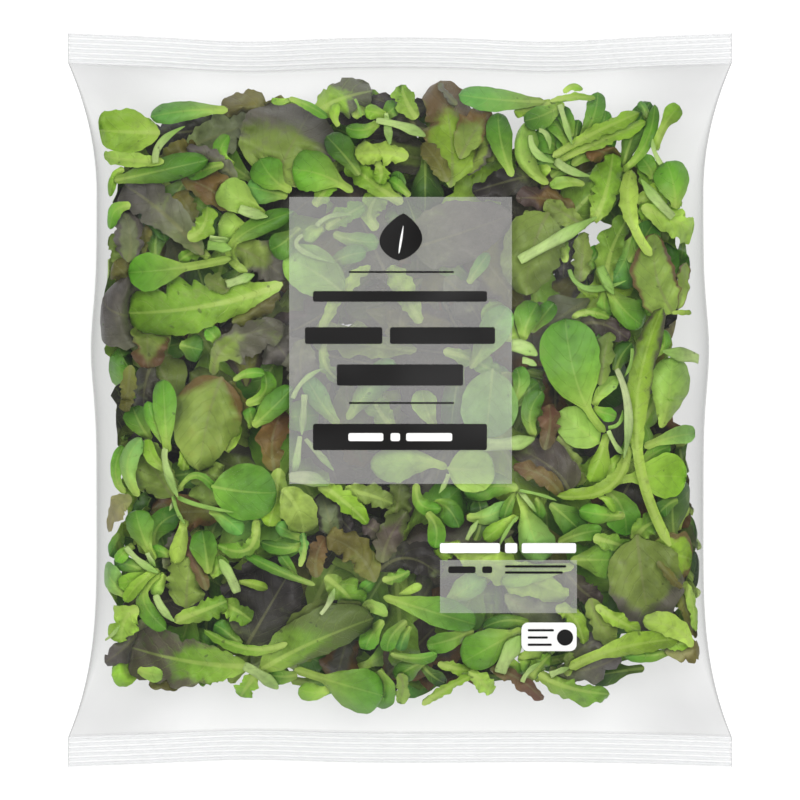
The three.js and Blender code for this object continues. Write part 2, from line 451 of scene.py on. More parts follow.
# an even ink, see-through by a plain alpha
def makeInk(name, color, alpha, roughness):
    material, _, shader = newMaterial(name)
    shader.inputs["Base Color"].default_value = solidColor(color)
    shader.inputs["Alpha"].default_value = alpha
    shader.inputs["Roughness"].default_value = roughness
    shader.inputs["Specular IOR Level"].default_value = printLook["shine"]
    return material


# Film

filmMesh = {
    "columns": 120, "bodyRows": 112, "rowsPerRidge": 8,
    "sealSoft": 0.9,  # mm over which the seals' look begins
    "endFrom": 98, "endOver": 16,  # mm from the middle where the ends' look begins, and over how much
    "cornerFrom": 0.6, "cornerOver": 0.3,  # where their corners begin, as a share of the half-width
}


# one closed skin of rings: over the upper film and back under the lower, with both ends capped
def makeFilm(material):
    columns, perRidge = filmMesh["columns"], filmMesh["rowsPerRidge"]
    v = np.linspace(-1, 1, columns + 1)
    spread = v * (1.35 - 0.35 * v * v)
    seam = bag["seamWidth"] / 2
    fold = int(np.argmin(np.abs(spread * bag["waistWidth"] / 2 - seam)))
    fold = max(fold, columns // 2 + 2)  # the column at the edge of the folded seam
    sealRows = bag["ridges"] * perRidge
    fromEnd = bag["sealDepth"] * np.arange(sealRows) / sealRows
    turn = np.pi * np.arange(filmMesh["bodyRows"] + 1) / filmMesh["bodyRows"]
    bodyY = -bodyHalf * (0.75 * np.cos(turn) + 0.25 * (1 - 2 * turn / np.pi))
    rowY = np.concatenate([np.full(sealRows, -bodyHalf), bodyY, np.full(sealRows, bodyHalf)])
    inSeal = bag["sealDepth"] - fromEnd
    outward = np.concatenate([inSeal, np.zeros(len(bodyY)), inSeal[::-1]])
    x = halfWidth(rowY)[:, None] * spread[None, :]
    y = np.repeat(rowY[:, None], columns + 1, 1)
    side = np.sign(y)
    follow = smooth(np.abs(y) / bodyHalf) ** 3
    ridgeTurn = 2 * np.pi * outward / bag["sealDepth"] * bag["ridges"]
    ridge = bag["ridgeHeight"] * np.cos(ridgeTurn) * (outward > 0)
    lowX = x.copy()
    for sign, inner in ((1, fold), (-1, columns - fold)):
        lowX[:, inner] = sign * seam
        lowX[:, inner + sign] = sign * (seam + bag["seamEdge"])

    def ring(px, height):
        place = y + side * outward[:, None] - side * follow * edgeDip(px, y)
        return np.stack([px, place, height + ridge[:, None]], -1)

    upper = ring(x, upperHeight(x, y))
    lower = ring(lowX, lowerHeight(lowX, y))
    middle = ring(x, midHeight(x, y))
    upper[:, 0], upper[:, -1] = middle[:, 0], middle[:, -1]
    rings = np.concatenate([upper, lower[:, -2:0:-1]], 1)
    rows, around = rings.shape[:2]
    index = np.arange(rows * around).reshape(rows, around)
    after = np.roll(index, -1, 1)
    a, b, c, d = index[:-1], index[1:], after[1:], after[:-1]
    first, second = np.stack([a, b, c], -1), np.stack([a, c, d], -1)
    body = np.concatenate([first.reshape(-1, 3), second.reshape(-1, 3)])[:, ::-1]
    caps = []
    for row, flip in ((0, 1), (rows - 1, -1)):
        up = index[row, :columns + 1]
        low = np.concatenate([up[:1], index[row, columns + 1:][::-1], up[-1:]])
        first = np.stack([up[:-1], low[:-1], low[1:]], -1)[1:]
        second = np.stack([up[:-1], low[1:], up[1:]], -1)[:-1]
        caps.append(np.concatenate([first, second])[:, ::flip])
    sealShare = smooth((np.abs(rowY) - bodyHalf + filmMesh["sealSoft"]) / filmMesh["sealSoft"])
    # where the seals' ridge crests get their painted highlight
    ridgeHighlightShare = smooth((np.cos(ridgeTurn) - 0.1) / 0.9) * (outward > 0)
    ridgeHighlightShare = ridgeHighlightShare * smooth(bag["sealDepth"] - outward)
    # behind the seals, where the film is clearer and painted lighter against the shade
    endShare = smooth((np.abs(rowY) - filmMesh["endFrom"]) / filmMesh["endOver"])
    fromMiddle = np.abs(np.concatenate([spread, spread[-2:0:-1]]))
    aside = smooth((fromMiddle - filmMesh["cornerFrom"]) / filmMesh["cornerOver"])
    held = np.stack([sealShare, ridgeHighlightShare, endShare, np.ones(rows)], -1)
    held = np.repeat(held[:, None, :], around, 1)
    # the corners behind the seals, painted greyer as shade
    held[:, :, 3] = held[:, :, 2] * aside * (1 - held[:, :, 0])
    held[:, :, 2] *= 1 - 0.9 * aside
    held = held.reshape(-1, 4)
    triangles = np.concatenate([body, *caps])
    film = makePiece("film_bag", rings.reshape(-1, 3), triangles, material, {"filmPlace": held})
    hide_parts("salad_bag")


# Floor, light and camera, in metres, only the sensor's width in mm. They stand here as the camera's
# height also says where the shown leaves and the print lie.
stage = {
    "floorColor": (168, 168, 168), "glowColor": (255, 255, 255), "floorGlow": 0.75,
    "floorHeight": -0.0002, "floorHalf": 3, "floorRough": 0.9, "floorShine": 0.1,
    "worldColor": (255, 255, 255), "worldStrength": 0.3,
    # the lamps' places, sizes and powers
    "lamps": (((0.3, 0.32, 1.36), 0.8, 11.0), ((-0.8, 0.3, 1.1), 0.9, 6.0), ((0.1, -0.9, 1.0), 0.9, 5.0)),
    "cameraHeight": 4.5, "shownWidth": 0.288, "sensorWidth": 36, "clipStart": 0.05, "clipEnd": 20,
}

# Leaves

# How the leaves are packed; lengths in mm
packing = {
    "cell": 1.0, "reachX": 122, "reachY": 126,  # the height maps' cells and half-sizes
    "filmGap": 0.6, "apart": 0.9, "sink": 4.0,  # under the film, between leaves, from layer to layer
    "sideGap": 1.0, "sideSqueeze": 7.0, "endGap": 3.5,  # at the sides and the ends
    "spreadRounds": 9, "stampSteps": 4,  # how far a push spreads, and how finely a leaf marks the maps
    "shortBy": 0.3, "shortShare": 0.04,  # how short of room, and on how much of it, a leaf may be
    "keepIn": 0.93,  # how much of a scattered leaf lies inside the heap's outline
    "innerHalf": 98, "sideFrom": 70, "seed": 4076,
    # rows and columns of a shown leaf
    "leastRows": 18, "spareRows": 9, "leastColumns": 9, "spareColumns": 5, "columnWidth": 2.2,
    # where the table shows right through: X, Y, radius
    "openPlaces": ((72, 58.4, 5.6), (67.4, 53, 2.6), (41, 100, 8)),
    "heapOutline": (  # how far the scattered filling reaches
        (-108, 99), (-104, 103), (-88, 102), (-72, 103), (-60, 108), (-48, 109), (-35, 110), (-14, 110),
        (6, 111), (20, 109), (24, 105), (30, 93), (50, 92), (60, 96), (75, 92), (85, 86), (93, 82),
        (96, 70), (103, 60), (103, 50), (103, 40), (98, 30), (97, 18), (100, 8), (101, -5), (104, -14),
        (103, -30), (107, -50), (107, -70), (107, -88), (100, -95), (75, -102), (52, -104), (30, -102),
        (10, -106), (-12, -109), (-35, -104), (-60, -103), (-80, -100), (-97, -100), (-104, -92),
        (-103, -80), (-105, -60), (-104, -45), (-99, -35), (-101, -20), (-102, 0), (-103, 14), (-108, 30),
        (-105, 45), (-103, 60), (-103, 75), (-103, 84), (-106, 90)),
}
gridX = np.arange(-packing["reachX"], packing["reachX"] + 0.5, packing["cell"])
gridY = np.arange(-packing["reachY"], packing["reachY"] + 0.5, packing["cell"])
meshX, meshY = np.meshgrid(gridX, gridY)
meshSection = sectionAt(meshX, meshY)
filmTop = upperHeight(meshX, meshSection)
filmUnder = lowerHeight(meshX, meshSection, False) + bag["seamThickness"]
ceiling = filmTop - packing["filmGap"]
ground = filmUnder + packing["filmGap"]
topNow = ceiling.copy()  # the free room's upper limit, lowered by each leaf laid under the upper film
underNow = ground.copy()  # and its lower limit, raised by each leaf laid against the lower film


# reads a height map at scattered places, straight between its cells
def readMap(heights, x, y):
    fx = np.clip((x - gridX[0]) / packing["cell"], 0, len(gridX) - 1.001)
    fy = np.clip((y - gridY[0]) / packing["cell"], 0, len(gridY) - 1.001)
    ix, iy = fx.astype(int), fy.astype(int)
    tx, ty = fx - ix, fy - iy
    near = heights[iy, ix] * (1 - tx) + heights[iy, ix + 1] * tx
    far = heights[iy + 1, ix] * (1 - tx) + heights[iy + 1, ix + 1] * tx
    return near * (1 - ty) + far * ty


# each point as the mean of itself and its neighbours along and across
def blur(values):
    padded = np.pad(values, 1, mode="edge")
    near = padded[:-2, 1:-1] + padded[2:, 1:-1] + padded[1:-1, :-2] + padded[1:-1, 2:]
    return (near + 2 * values) / 6


# where each point lies inside the heap's outline, by counting the sides that a line to its right crosses,
# and where it is clear of the open places
def insideHeap(x, y):
    inside = np.zeros(x.shape, dtype=bool)
    corners = np.array(packing["heapOutline"], dtype=float)
    for (x0, y0), (x1, y1) in zip(corners, np.roll(corners, -1, 0)):
        crossing = (y0 > y) != (y1 > y)
        inside ^= crossing & (x < (x1 - x0) * (y - y0) / (y1 - y0 if y1 != y0 else 1) + x0)
    clear = np.ones(x.shape, dtype=bool)
    for px, py, radius in packing["openPlaces"]:
        clear &= np.hypot(x - px, y - py) > radius
    return inside, clear


heapCells = np.logical_and(*insideHeap(meshX, meshY))
sideCells = heapCells & (np.abs(meshX) > packing["sideFrom"])
innerCells = heapCells & (np.abs(meshX) < packing["innerHalf"]) & (np.abs(meshY) < packing["innerHalf"])


# the shown places were read off the photograph as if level with the seals. Under a higher film they lie
# nearer the middle, by (camera height - film height) / (camera height - seal height)
def seenPlace(x, y):
    height = stage["cameraHeight"] / mm
    share = (height - readMap(filmTop, x, y)) / (height - bag["sealHeight"])
    return x * share, y * share


# splits every cell of a grid into steps * steps, for stamping it on a height map
def refine(values, steps):
    rows, columns = values.shape
    fr = np.linspace(0, rows - 1, (rows - 1) * steps + 1)
    fc = np.linspace(0, columns - 1, (columns - 1) * steps + 1)
    ir, ic = np.minimum(fr.astype(int), rows - 2), np.minimum(fc.astype(int), columns - 2)
    tr, tc = (fr - ir)[:, None], (fc - ic)[None, :]
    near = values[ir][:, ic] * (1 - tc) + values[ir][:, ic + 1] * tc
    far = values[ir + 1][:, ic] * (1 - tc) + values[ir + 1][:, ic + 1] * tc
    return near * (1 - tr) + far * tr


# lays a leaf against one film: film height - sink + relief, pushed clear of what already lies there,
# the push being spread over the leaf so that it bends. Then what it covers is marked as taken.
# A leaf that must fit gives None where the other side's leaves leave it no room.
def drape(x, y, relief, sink, thickness, side, mustFit=False):
    free = topNow if side > 0 else underNow
    film = ceiling if side > 0 else ground
    wanted = readMap(film, x, y) * side - sink + relief
    limit = readMap(free, x, y) * side
    over = np.maximum(0, wanted - limit)
    push = over
    for _ in range(packing["spreadRounds"]):
        push = np.maximum(over, blur(push))
    height = (wanted - push) * side
    lowest, highest = readMap(ground, x, y) + thickness, readMap(ceiling, x, y)
    if mustFit:
        other = readMap(underNow, x, y) + thickness - height if side > 0 else height - readMap(topNow, x, y)
        for short in (other, lowest - height):
            if (short > packing["shortBy"]).mean() > packing["shortShare"]:
                return None
    height = np.clip(height, np.minimum(lowest, highest), highest)
    steps = packing["stampSteps"]
    fx, fy, fz = refine(x, steps), refine(y, steps), refine(height, steps)
    ix = np.clip(np.rint((fx - gridX[0]) / packing["cell"]).astype(int), 0, len(gridX) - 1)
    iy = np.clip(np.rint((fy - gridY[0]) / packing["cell"]).astype(int), 0, len(gridY) - 1)
    if side > 0:
        np.minimum.at(topNow, (iy, ix), fz - thickness - packing["apart"])
    else:
        np.maximum.at(underNow, (iy, ix), fz + packing["apart"])
    return height


kinds = {
    # batch: the piece it belongs to; rise and fall: powers of the blade's outline from stalk to tip;
    # stalk: its share of the length; stalkHalf, thick, rib: in mm; camber, arch, ruffle, crumple: shares of
    # the blade's width; waves: of the ruffle; teeth, lobes, torn, notches: how uneven its edge is, with
    # toothCount and lobeCount, and leftTeeth as the share of the teeth on its left; fray: the same in mm;
    # rows and columns: the most it may have; ribTint: the midrib's strength; pale: the share of stalkTint
    "lambs": {
        "batch": "lambs", "rise": 1.05, "fall": 0.52, "stalk": 0.26, "stalkHalf": 1.5, "thick": 0.5,
        "rib": 0.9, "camber": 0.34, "arch": 0.2, "ruffle": 0.04, "waves": 2.0, "teeth": 0.0,
        "toothCount": 9, "lobes": 0.04, "lobeCount": 2, "rows": 30, "columns": 11, "ribTint": 0.5,
        "crumple": 0.05, "torn": 0.0, "notches": 0, "pale": 0.9, "fray": 0.14},
    "green": {
        "batch": "green", "rise": 0.72, "fall": 0.42, "stalk": 0.1, "stalkHalf": 1.9, "thick": 0.4,
        "rib": 1.1, "camber": 0.2, "arch": 0.14, "ruffle": 0.17, "waves": 3.6, "teeth": 0.12,
        "toothCount": 7, "lobes": 0.15, "lobeCount": 2.4, "rows": 48, "columns": 15, "ribTint": 1.0,
        "crumple": 0.13, "torn": 0.14, "notches": 1, "pale": 0.85, "fray": 0.5},
    "plain": {
        "batch": "green", "rise": 0.62, "fall": 0.44, "stalk": 0.08, "stalkHalf": 1.9, "thick": 0.4,
        "rib": 1.0, "camber": 0.22, "arch": 0.14, "ruffle": 0.06, "waves": 2.2, "teeth": 0.0,
        "toothCount": 6, "lobes": 0.05, "lobeCount": 2, "rows": 36, "columns": 13, "ribTint": 0.85,
        "crumple": 0.09, "torn": 0.06, "notches": 0, "pale": 0.8, "fray": 0.4},
    "red": {
        "batch": "red", "rise": 0.58, "fall": 0.42, "stalk": 0.08, "stalkHalf": 1.7, "thick": 0.38,
        "rib": 0.9, "camber": 0.2, "arch": 0.16, "ruffle": 0.13, "waves": 3.0, "teeth": 0.05,
        "toothCount": 8, "lobes": 0.11, "lobeCount": 2.6, "rows": 44, "columns": 15, "ribTint": 0.6,
        "crumple": 0.16, "torn": 0.2, "notches": 2, "pale": 0.35, "fray": 0.5},
    "round": {
        "batch": "lambs", "rise": 0.56, "fall": 0.5, "stalk": 0.04, "stalkHalf": 1.1, "thick": 0.5,
        "rib": 0.8, "camber": 0.16, "arch": 0.12, "ruffle": 0.03, "waves": 2.0, "teeth": 0.0,
        "toothCount": 9, "lobes": 0.02, "lobeCount": 2, "rows": 32, "columns": 13, "ribTint": 0.5,
        "crumple": 0.04, "torn": 0.0, "notches": 0, "pale": 0.25, "fray": 0.12},
    "toothed": {
        "batch": "green", "rise": 0.9, "fall": 0.34, "stalk": 0.05, "stalkHalf": 2.2, "thick": 0.4,
        "rib": 1.3, "camber": 0.14, "arch": 0.1, "ruffle": 0.1, "waves": 2.6, "teeth": 0.24,
        "toothCount": 6, "lobes": 0.05, "lobeCount": 1.6, "rows": 72, "columns": 17, "ribTint": 1.25,
        "crumple": 0.1, "torn": 0.05, "notches": 0, "pale": 0.8, "fray": 0.5, "leftTeeth": 0.15},
    "smooth": {
        "batch": "red", "rise": 0.5, "fall": 0.62, "stalk": 0.03, "stalkHalf": 1.7, "thick": 0.38,
        "rib": 0.9, "camber": 0.16, "arch": 0.12, "ruffle": 0.08, "waves": 2.4, "teeth": 0.0,
        "toothCount": 8, "lobes": 0.07, "lobeCount": 2.2, "rows": 40, "columns": 17, "ribTint": 0.6,
        "crumple": 0.12, "torn": 0.1, "notches": 0, "pale": 0.3, "fray": 0.6},
    "blunt": {
        "batch": "red", "rise": 0.66, "fall": 0.2, "stalk": 0.03, "stalkHalf": 2.0, "thick": 0.38,
        "rib": 1.1, "camber": 0.12, "arch": 0.12, "ruffle": 0.1, "waves": 2.6, "teeth": 0.05,
        "toothCount": 9, "lobes": 0.07, "lobeCount": 2.2, "rows": 56, "columns": 19, "ribTint": 1.0,
        "crumple": 0.14, "torn": 0.12, "notches": 1, "pale": 0.5, "fray": 0.7},
}
kinds["wide"] = {**kinds["blunt"], "batch": "green", "pale": 0.7}

tones = {
    "deep": (66, 118, 42), "mid": (84, 140, 50), "fresh": (98, 156, 58), "bright": (108, 170, 60),
    "lime": (146, 192, 68), "limePale": (172, 204, 102), "pale": (156, 194, 112), "under": (158, 196, 118),
    "cool": (100, 162, 92), "coolPale": (138, 188, 128), "heroGreen": (100, 160, 56),
    "darkGreen": (54, 92, 44), "leafBright": (134, 178, 62), "leafLime": (148, 186, 68),
    "leafFresh": (114, 160, 58), "leafDull": (112, 148, 60), "olive": (128, 146, 76),
    "oliveLight": (146, 168, 88), "oliveLime": (138, 172, 64), "oliveDark": (98, 112, 56),
    "brownOlive": (108, 100, 42), "plum": (94, 78, 76), "brown": (112, 80, 42), "redBrown": (106, 70, 52),
    "tan": (160, 146, 100), "greyPurple": (100, 92, 88), "darkPurple": (54, 47, 46), "purple": (76, 61, 58),
    "greyOlive": (118, 122, 92), "white": (208, 224, 160), "stem": (192, 220, 134),
    "stemGreen": (150, 194, 88),
}
stalkTint = (182, 214, 90)

# Each leaf: layer, tone, foot X Y, middle X Y, tip X Y, half-width to its left and right, then if given
# its stalk's share, the blush's tone, how much blush, and where it starts: 1 tip, 0 foot, 2 both edges.
# "kinds" says for each list of leaves what kind they are and which seed the first of them takes.
lambsLettuce = {"kinds": {"leaves": ("lambs", 11000), "roundLeaves": ("round", 12000)}, "roundLeaves": (
    (0.0, "fresh", -68, -31, -56, -33, -44.3, -33.4, 10.3, 10.3),
    (0.1, "under", 72, -15.6, 65, -10.5, 57.2, -4.2, 6.8, 6.8),
    (0.0, "under", 17, -24.6, 25.6, -25, 34, -24, 8.6, 8.4),
    (0.1, "coolPale", 33.4, 11.4, 32.2, -1.4, 31, -13.6, 10.4, 10.2),
    (0.2, "pale", -20, 38, -31, 46.4, -42, 51.6, 8.8, 8.4),
), "leaves": (
    (0.0, "heroGreen", 74, -11.5, 64.5, 4, 59.5, 29.5, 10.8, 10.8, 0.3),
    (0.0, "bright", -61, 51, -80, 47.5, -98, 46, 7, 6.4, 0.42),
    (0.0, "bright", -17, 75, -28, 81, -39, 83, 7.4, 8, 0.16),
    (0.2, "bright", -39, 75.5, -45.5, 79.5, -50.5, 87, 6, 6, 0.2),
    (0.0, "fresh", -38, -97, -22, -102, -6, -106.5, 7.5, 8.6, 0.3),
    (0.0, "bright", 44, -82.5, 34, -88, 22.5, -94.5, 6.2, 7.2, 0.12),
    (0.0, "fresh", -6, -71, 10, -75.8, 27.5, -81, 6.2, 4.6, 0.1),
    (0.1, "under", 94, -10, 97, 2.5, 98, 15.5, 7.2, 7, 0.04),
    (0.3, "lime", 76, -29.5, 90, -27.5, 103.5, -28, 8.2, 8, 0.24),
    (0.1, "coolPale", 88, -17, 98, -13.4, 109, -12, 3.4, 3, 0.2),
    (0.0, "lime", 74.6, -12, 72, -20.5, 68.3, -29.6, 4.6, 2.4, 0.2),
    (0.1, "bright", 69.5, -3, 73.5, -4.6, 78, -6, 2.2, 2.7, 0.1),
    (0.6, "pale", 70, -2, 73, 3.5, 78.5, 8, 2.2, 2.8, 0.1),
    (0.0, "bright", 99, 69, 98.7, 76.5, 96, 86, 6.4, 6.6, 0.1),
    (0.0, "lime", 91.5, 90, 95.6, 99.5, 100.8, 106, 3.2, 3.2, 0.42),
    (0.1, "deep", 80.5, 84, 84, 95.6, 90.2, 107.5, 4.2, 4.6, 0.06),
    (0.0, "bright", 80, 82.5, 88.3, 92, 91.8, 106.5, 2.2, 2.4, 0.06),
    (0.45, "mid", 60.4, 87.6, 55, 92.6, 48.6, 96.6, 4.8, 4.6, 0.05),
    (0.5, "cool", 58, 84, 52.4, 87.6, 47.8, 91.6, 4, 4, 0.05),
    (0.3, "fresh", 60.6, 91, 58, 97, 53.4, 102.4, 3.2, 3.4, 0.05),
    (0.2, "mid", 70, 93, 72.8, 98.6, 74, 104.4, 2.5, 2.6, 0.05),
    (0.6, "mid", 54.4, 80.4, 58.6, 83.6, 63, 87, 3, 3, 0.05),
    (0.6, "mid", 40, -3, 44.6, 2, 50, 6.4, 4, 4, 0.05),
    (0.6, "mid", 66, 46, 69.4, 50.6, 71.6, 55.6, 3, 3, 0.05),
    (0.05, "mid", 61.4, 94.6, 60.4, 100.4, 57.4, 105.6, 2.8, 2.6, 0.05),
    (0.4, "fresh", 43, -92, 46.6, -96, 49.4, -100.4, 3.4, 3.4, 0.05),
    (0.0, "cool", 90, 101, 88, 104.6, 86, 107.4, 1.5, 1.5, 0.06),
    (0.0, "mid", 64, 92, 69.3, 101, 71.3, 111, 3.4, 3.2, 0.1),
    (0.4, "mid", 62, 84.6, 70, 91, 77.4, 96, 4.4, 4.6, 0.05),
    (0.6, "deep", 63, 92, 63.5, 97, 64.4, 101, 1.9, 1.9, 0.05),
    (0.0, "mid", 59, 107, 52.5, 103, 44.6, 100.5, 4.6, 3.6, 0.1),
    (0.0, "pale", 53.5, 78, 44, 87.5, 46.5, 100.5, 2.2, 6.2, 0.04),
    (0.0, "lime", 54, 84, 51, 82.6, 47.8, 82, 3, 2.2, 0.05),
    (0.4, "mid", 58, 87, 58.5, 91, 58, 95, 2.2, 2.4, 0.05),
    (0.0, "pale", 66.5, 77.6, 60, 78.6, 54, 77, 2.2, 2, 0.05),
    (0.0, "cool", 52, 107.5, 37, 108, 21, 110, 4.4, 4.2, 0.06),
    (0.0, "mid", 40.5, 80.5, 36.6, 92, 35.3, 103.6, 4.6, 4.4, 0.08),
    (0.0, "lime", 59, 110.6, 62.4, 113.2, 65.8, 111.6, 0.5, 1.9, 0.1),
    (0.0, "deep", -14.6, 81, -20, 88, -26.6, 95.2, 3.6, 5.4, 0.08),
    (0.0, "lime", -5, 102.4, -9, 103.6, -12.8, 104, 2.7, 2.5, 0.05),
    (0.3, "mid", -7.5, 100, -3.6, 104, -0.5, 106.4, 3.2, 2.6, 0.06),
    (0.2, "bright", -8, 100.2, -13, 97.3, -19.6, 98.2, 3, 2.2, 0.06),
    (0.0, "lime", -22, 98.6, -23.6, 102.6, -22.2, 106.8, 1.9, 1.7, 0.06),
    (0.0, "bright", -40, 108.6, -33, 106, -26, 101.6, 1.3, 1.9, 0.05),
    (0.0, "lime", -39, 108.6, -42.5, 107.6, -46.4, 108.2, 1.4, 1.0, 0.05),
    (0.0, "cool", -62, 104.4, -76, 104.2, -90, 102, 3.8, 3.8, 0.1),
    (0.0, "mid", -103, 79, -89, 82, -69, 86.5, 4.8, 4.4, 0.06),
    (0.1, "mid", -63.5, 84.8, -70, 83.2, -76.6, 80.4, 2.6, 2.2, 0.05),
    (0.1, "lime", -99.5, 83.5, -103.3, 79.5, -105.6, 73.2, 2.0, 2.3, 0.05),
    (0.0, "bright", -97, 70, -102.8, 68, -105.3, 61.4, 3, 3, 0.05),
    (0.2, "deep", -97, 70, -89, 67, -84.5, 57, 3.1, 3.3, 0.05),
    (1.6, "deep", -88, 51, -88, 58, -86, 64.5, 4.6, 4.4, 0.05),
    (0.0, "pale", -49, 66.5, -58, 72.5, -64.6, 77.6, 6.2, 6, 0.06),
    (0.2, "pale", -54, 61.5, -60, 62.3, -65.6, 63.4, 5.4, 5.2, 0.06),
    (0.0, "mid", -55, 46, -60.2, 56.5, -38, 68, 3.6, 3.9, 0.5),
    (0.0, "mid", -36, 62, -41.5, 57, -46.8, 54, 5.2, 4.4, 0.06),
    (0.5, "cool", -40.5, 73.5, -47.5, 75.2, -55.4, 77, 5, 4.6, 0.06),
    (0.5, "bright", -60, 84.6, -64.6, 89, -61.5, 95.4, 3.0, 2.2, 0.05),
    (0.4, "fresh", -97, 40, -94, 45, -97, 53, 3, 3, 0.05),
    (1.6, "deep", -79.5, 20, -75.4, 19, -71, 18, 5, 5, 0.05),
    (0.4, "bright", -66, 19.6, -67, 23, -70.2, 25.6, 2.8, 2.8, 0.05),
    (0.0, "bright", -84, -19, -84.6, -6, -85.4, 7.4, 4.2, 4.3, 0.1),
    (0.3, "bright", -84, -16.5, -88, -9, -91, -0.4, 2.6, 2.2, 0.05),
    (0.6, "mid", -90, -14.6, -94, -8, -96.4, -2.4, 4.6, 4.2, 0.05),
    (0.0, "coolPale", -94, -34.6, -98.2, -23.6, -93, -13.6, 2.8, 3.8, 0.04),
    (0.4, "bright", -99, -33.5, -102.6, -26, -99.8, -16.4, 2.4, 2.2, 0.04),
    (0.2, "lime", -83.6, -25.5, -89, -20.5, -90.6, -14, 2.8, 1.8, 0.05),
    (0.0, "bright", -80, -33, -72.5, -27.2, -63.6, -36.6, 1.3, 1.5, 0.05),
    (0.0, "mid", -53, -9.5, -47, -4, -38.4, 4.6, 4.6, 3.8, 0.06),
    (0.0, "bright", -60, 7, -54.6, 9.6, -48.6, 9.4, 1.8, 1.8, 0.04),
    (0.0, "bright", -55.5, -1.4, -48.8, 3, -49.2, 10.4, 1.6, 3.4, 0.04),
    (0.0, "mid", -53, -9.6, -53.6, -6, -54.3, -2.6, 2.6, 2.3, 0.05),
    (0.0, "fresh", -88.6, -58, -93, -48, -95.2, -39.6, 4.6, 5.2, 0.16),
    (0.6, "deep", -88.5, -52.6, -87, -45.4, -79.6, -40.8, 4.4, 4.6, 0.05),
    (0.0, "limePale", -77.8, -43, -79, -50.4, -81.2, -59, 2.9, 2.9, 0.12),
    (0.0, "fresh", -69, -62.6, -70, -55, -71.3, -46.8, 5.2, 4.4, 0.05),
    (0.0, "lime", -87, -61, -94, -66, -99, -72.8, 2.3, 2.2, 0.08),
    (0.0, "fresh", -86.5, -62, -92.4, -71.4, -84, -82.6, 2.6, 3.8, 0.3),
    (0.2, "coolPale", -98.6, -70.6, -103.6, -65.6, -109.6, -59.4, 4.6, 4.8, 0.06),
    (0.1, "lime", -88, -62, -95, -64.6, -101.6, -66.2, 3.4, 2.8, 0.12),
    (0.4, "mid", -91, -62, -97, -59.6, -103.4, -58, 2.8, 2.6, 0.06),
    (0.3, "bright", -96.6, -52.6, -99.6, -55.2, -102.4, -58.4, 2.4, 2.0, 0.05),
    (0.5, "pale", -84.6, -63, -87, -66.8, -88.2, -70.6, 2.4, 2.2, 0.05),
    (0.4, "fresh", -82.6, -56, -86, -54.6, -90, -53.6, 2.4, 2, 0.05),
    (0.3, "lime", -92, -97, -98, -98.2, -104, -99.2, 4.9, 4.8, 0.06),
    (0.0, "pale", -94.4, -97, -90, -98.6, -85.4, -99, 2.7, 2.7, 0.04),
    (0.5, "mid", -37, -99, -43.4, -99.6, -50, -98, 3.4, 2.8, 0.05),
    (0.5, "lime", -25.6, -104, -31, -105.4, -36.6, -104, 3.2, 3.4, 0.05),
    (0.2, "fresh", -8, -97.6, -5.6, -104, -8.6, -110.6, 4.4, 4.2, 0.05),
    (0.1, "fresh", -6, -79.4, -10.4, -85, -12.4, -90, 3.4, 3.4, 0.05),
    (0.0, "fresh", 2.4, -79.6, -3, -85, -4.6, -90.6, 2.8, 2.8, 0.05),
    (0.0, "cool", 3.4, -81.4, 1.2, -86, 0, -90.4, 2.2, 2.3, 0.05),
    (0.3, "fresh", 26.5, -83, 18, -86.4, 9.6, -88.4, 3.8, 3.2, 0.06),
    (0.1, "fresh", -3.4, -91.4, 6, -93, 13.4, -91.2, 1.6, 2.3, 0.05),
    (0.6, "mid", 9, -94, 3, -97, -1.8, -100.4, 4.2, 3.6, 0.05),
    (0.6, "darkGreen", 8, -95.6, 12, -99.6, 16.6, -102.2, 2.8, 2.2, 0.05),
    (0.3, "mid", -13, -78.4, -14.8, -71, -8.6, -64.6, 2.2, 2.2, 0.05),
    (0.0, "limePale", -0.4, -70.6, 4, -68.4, 8, -66.8, 1.7, 1.4, 0.04),
    (0.0, "fresh", 9.6, -40.6, 13, -46, 12.4, -53.4, 3.2, 3.3, 0.08),
    (0.0, "fresh", 6, -30, 7.6, -37.6, 15, -39, 2.8, 2.6, 0.04),
    (0.1, "mid", 12, -38, 17, -38.8, 21.4, -46, 3.6, 4.4, 0.05),
    (0.6, "darkGreen", 27, -50.6, 29.2, -43, 28, -35.6, 3.8, 3.2, 0.05),
    (0.3, "mid", 42.5, -32, 34, -31, 23, -33.6, 4.6, 5.6, 0.05),
    (0.1, "pale", 17, -24.5, 3.6, -21.6, -10.6, -24.6, 7.6, 5.4, 0.14),
    (0.0, "coolPale", 43, -33, 46.6, -45, 51.6, -58.4, 6.8, 6, 0.26),
    (0.0, "lime", 42, -42, 36, -46, 30.2, -50.4, 2.8, 2.9, 0.1),
    (0.3, "mid", 42, -33, 39, -38, 37.4, -43.6, 2.1, 2.0, 0.08),
    (0.0, "mid", 49.4, -35, 50, -39, 50.2, -43, 2.3, 2.2, 0.05),
    (0.3, "deep", 46.5, -80.6, 38, -79.4, 29.6, -82.4, 3.4, 2.2, 0.05),
    (0.4, "bright", 39.6, -93.6, 41.6, -97, 42.2, -100.6, 2.9, 2.7, 0.05),
    (0.2, "pale", 42.6, -92.6, 48.6, -91.2, 56, -90, 2.4, 2.2, 0.05),
    (0.4, "deep", 54, -37.4, 60, -42.4, 66, -48.2, 5.2, 4.8, 0.05),
    (0.3, "fresh", 74, -32.6, 80, -39, 81.6, -49, 5.4, 6.8, 0.05),
    (0.1, "bright", 81, -41.6, 72.6, -41.2, 64.4, -39.8, 3.4, 3.2, 0.05),
    (0.0, "lime", 71.4, -34.6, 75, -36.6, 77.4, -40.6, 1.5, 1.4, 0.05),
    (0.2, "bright", 61.4, -57.6, 73, -57.6, 84, -58, 7, 7.2, 0.05),
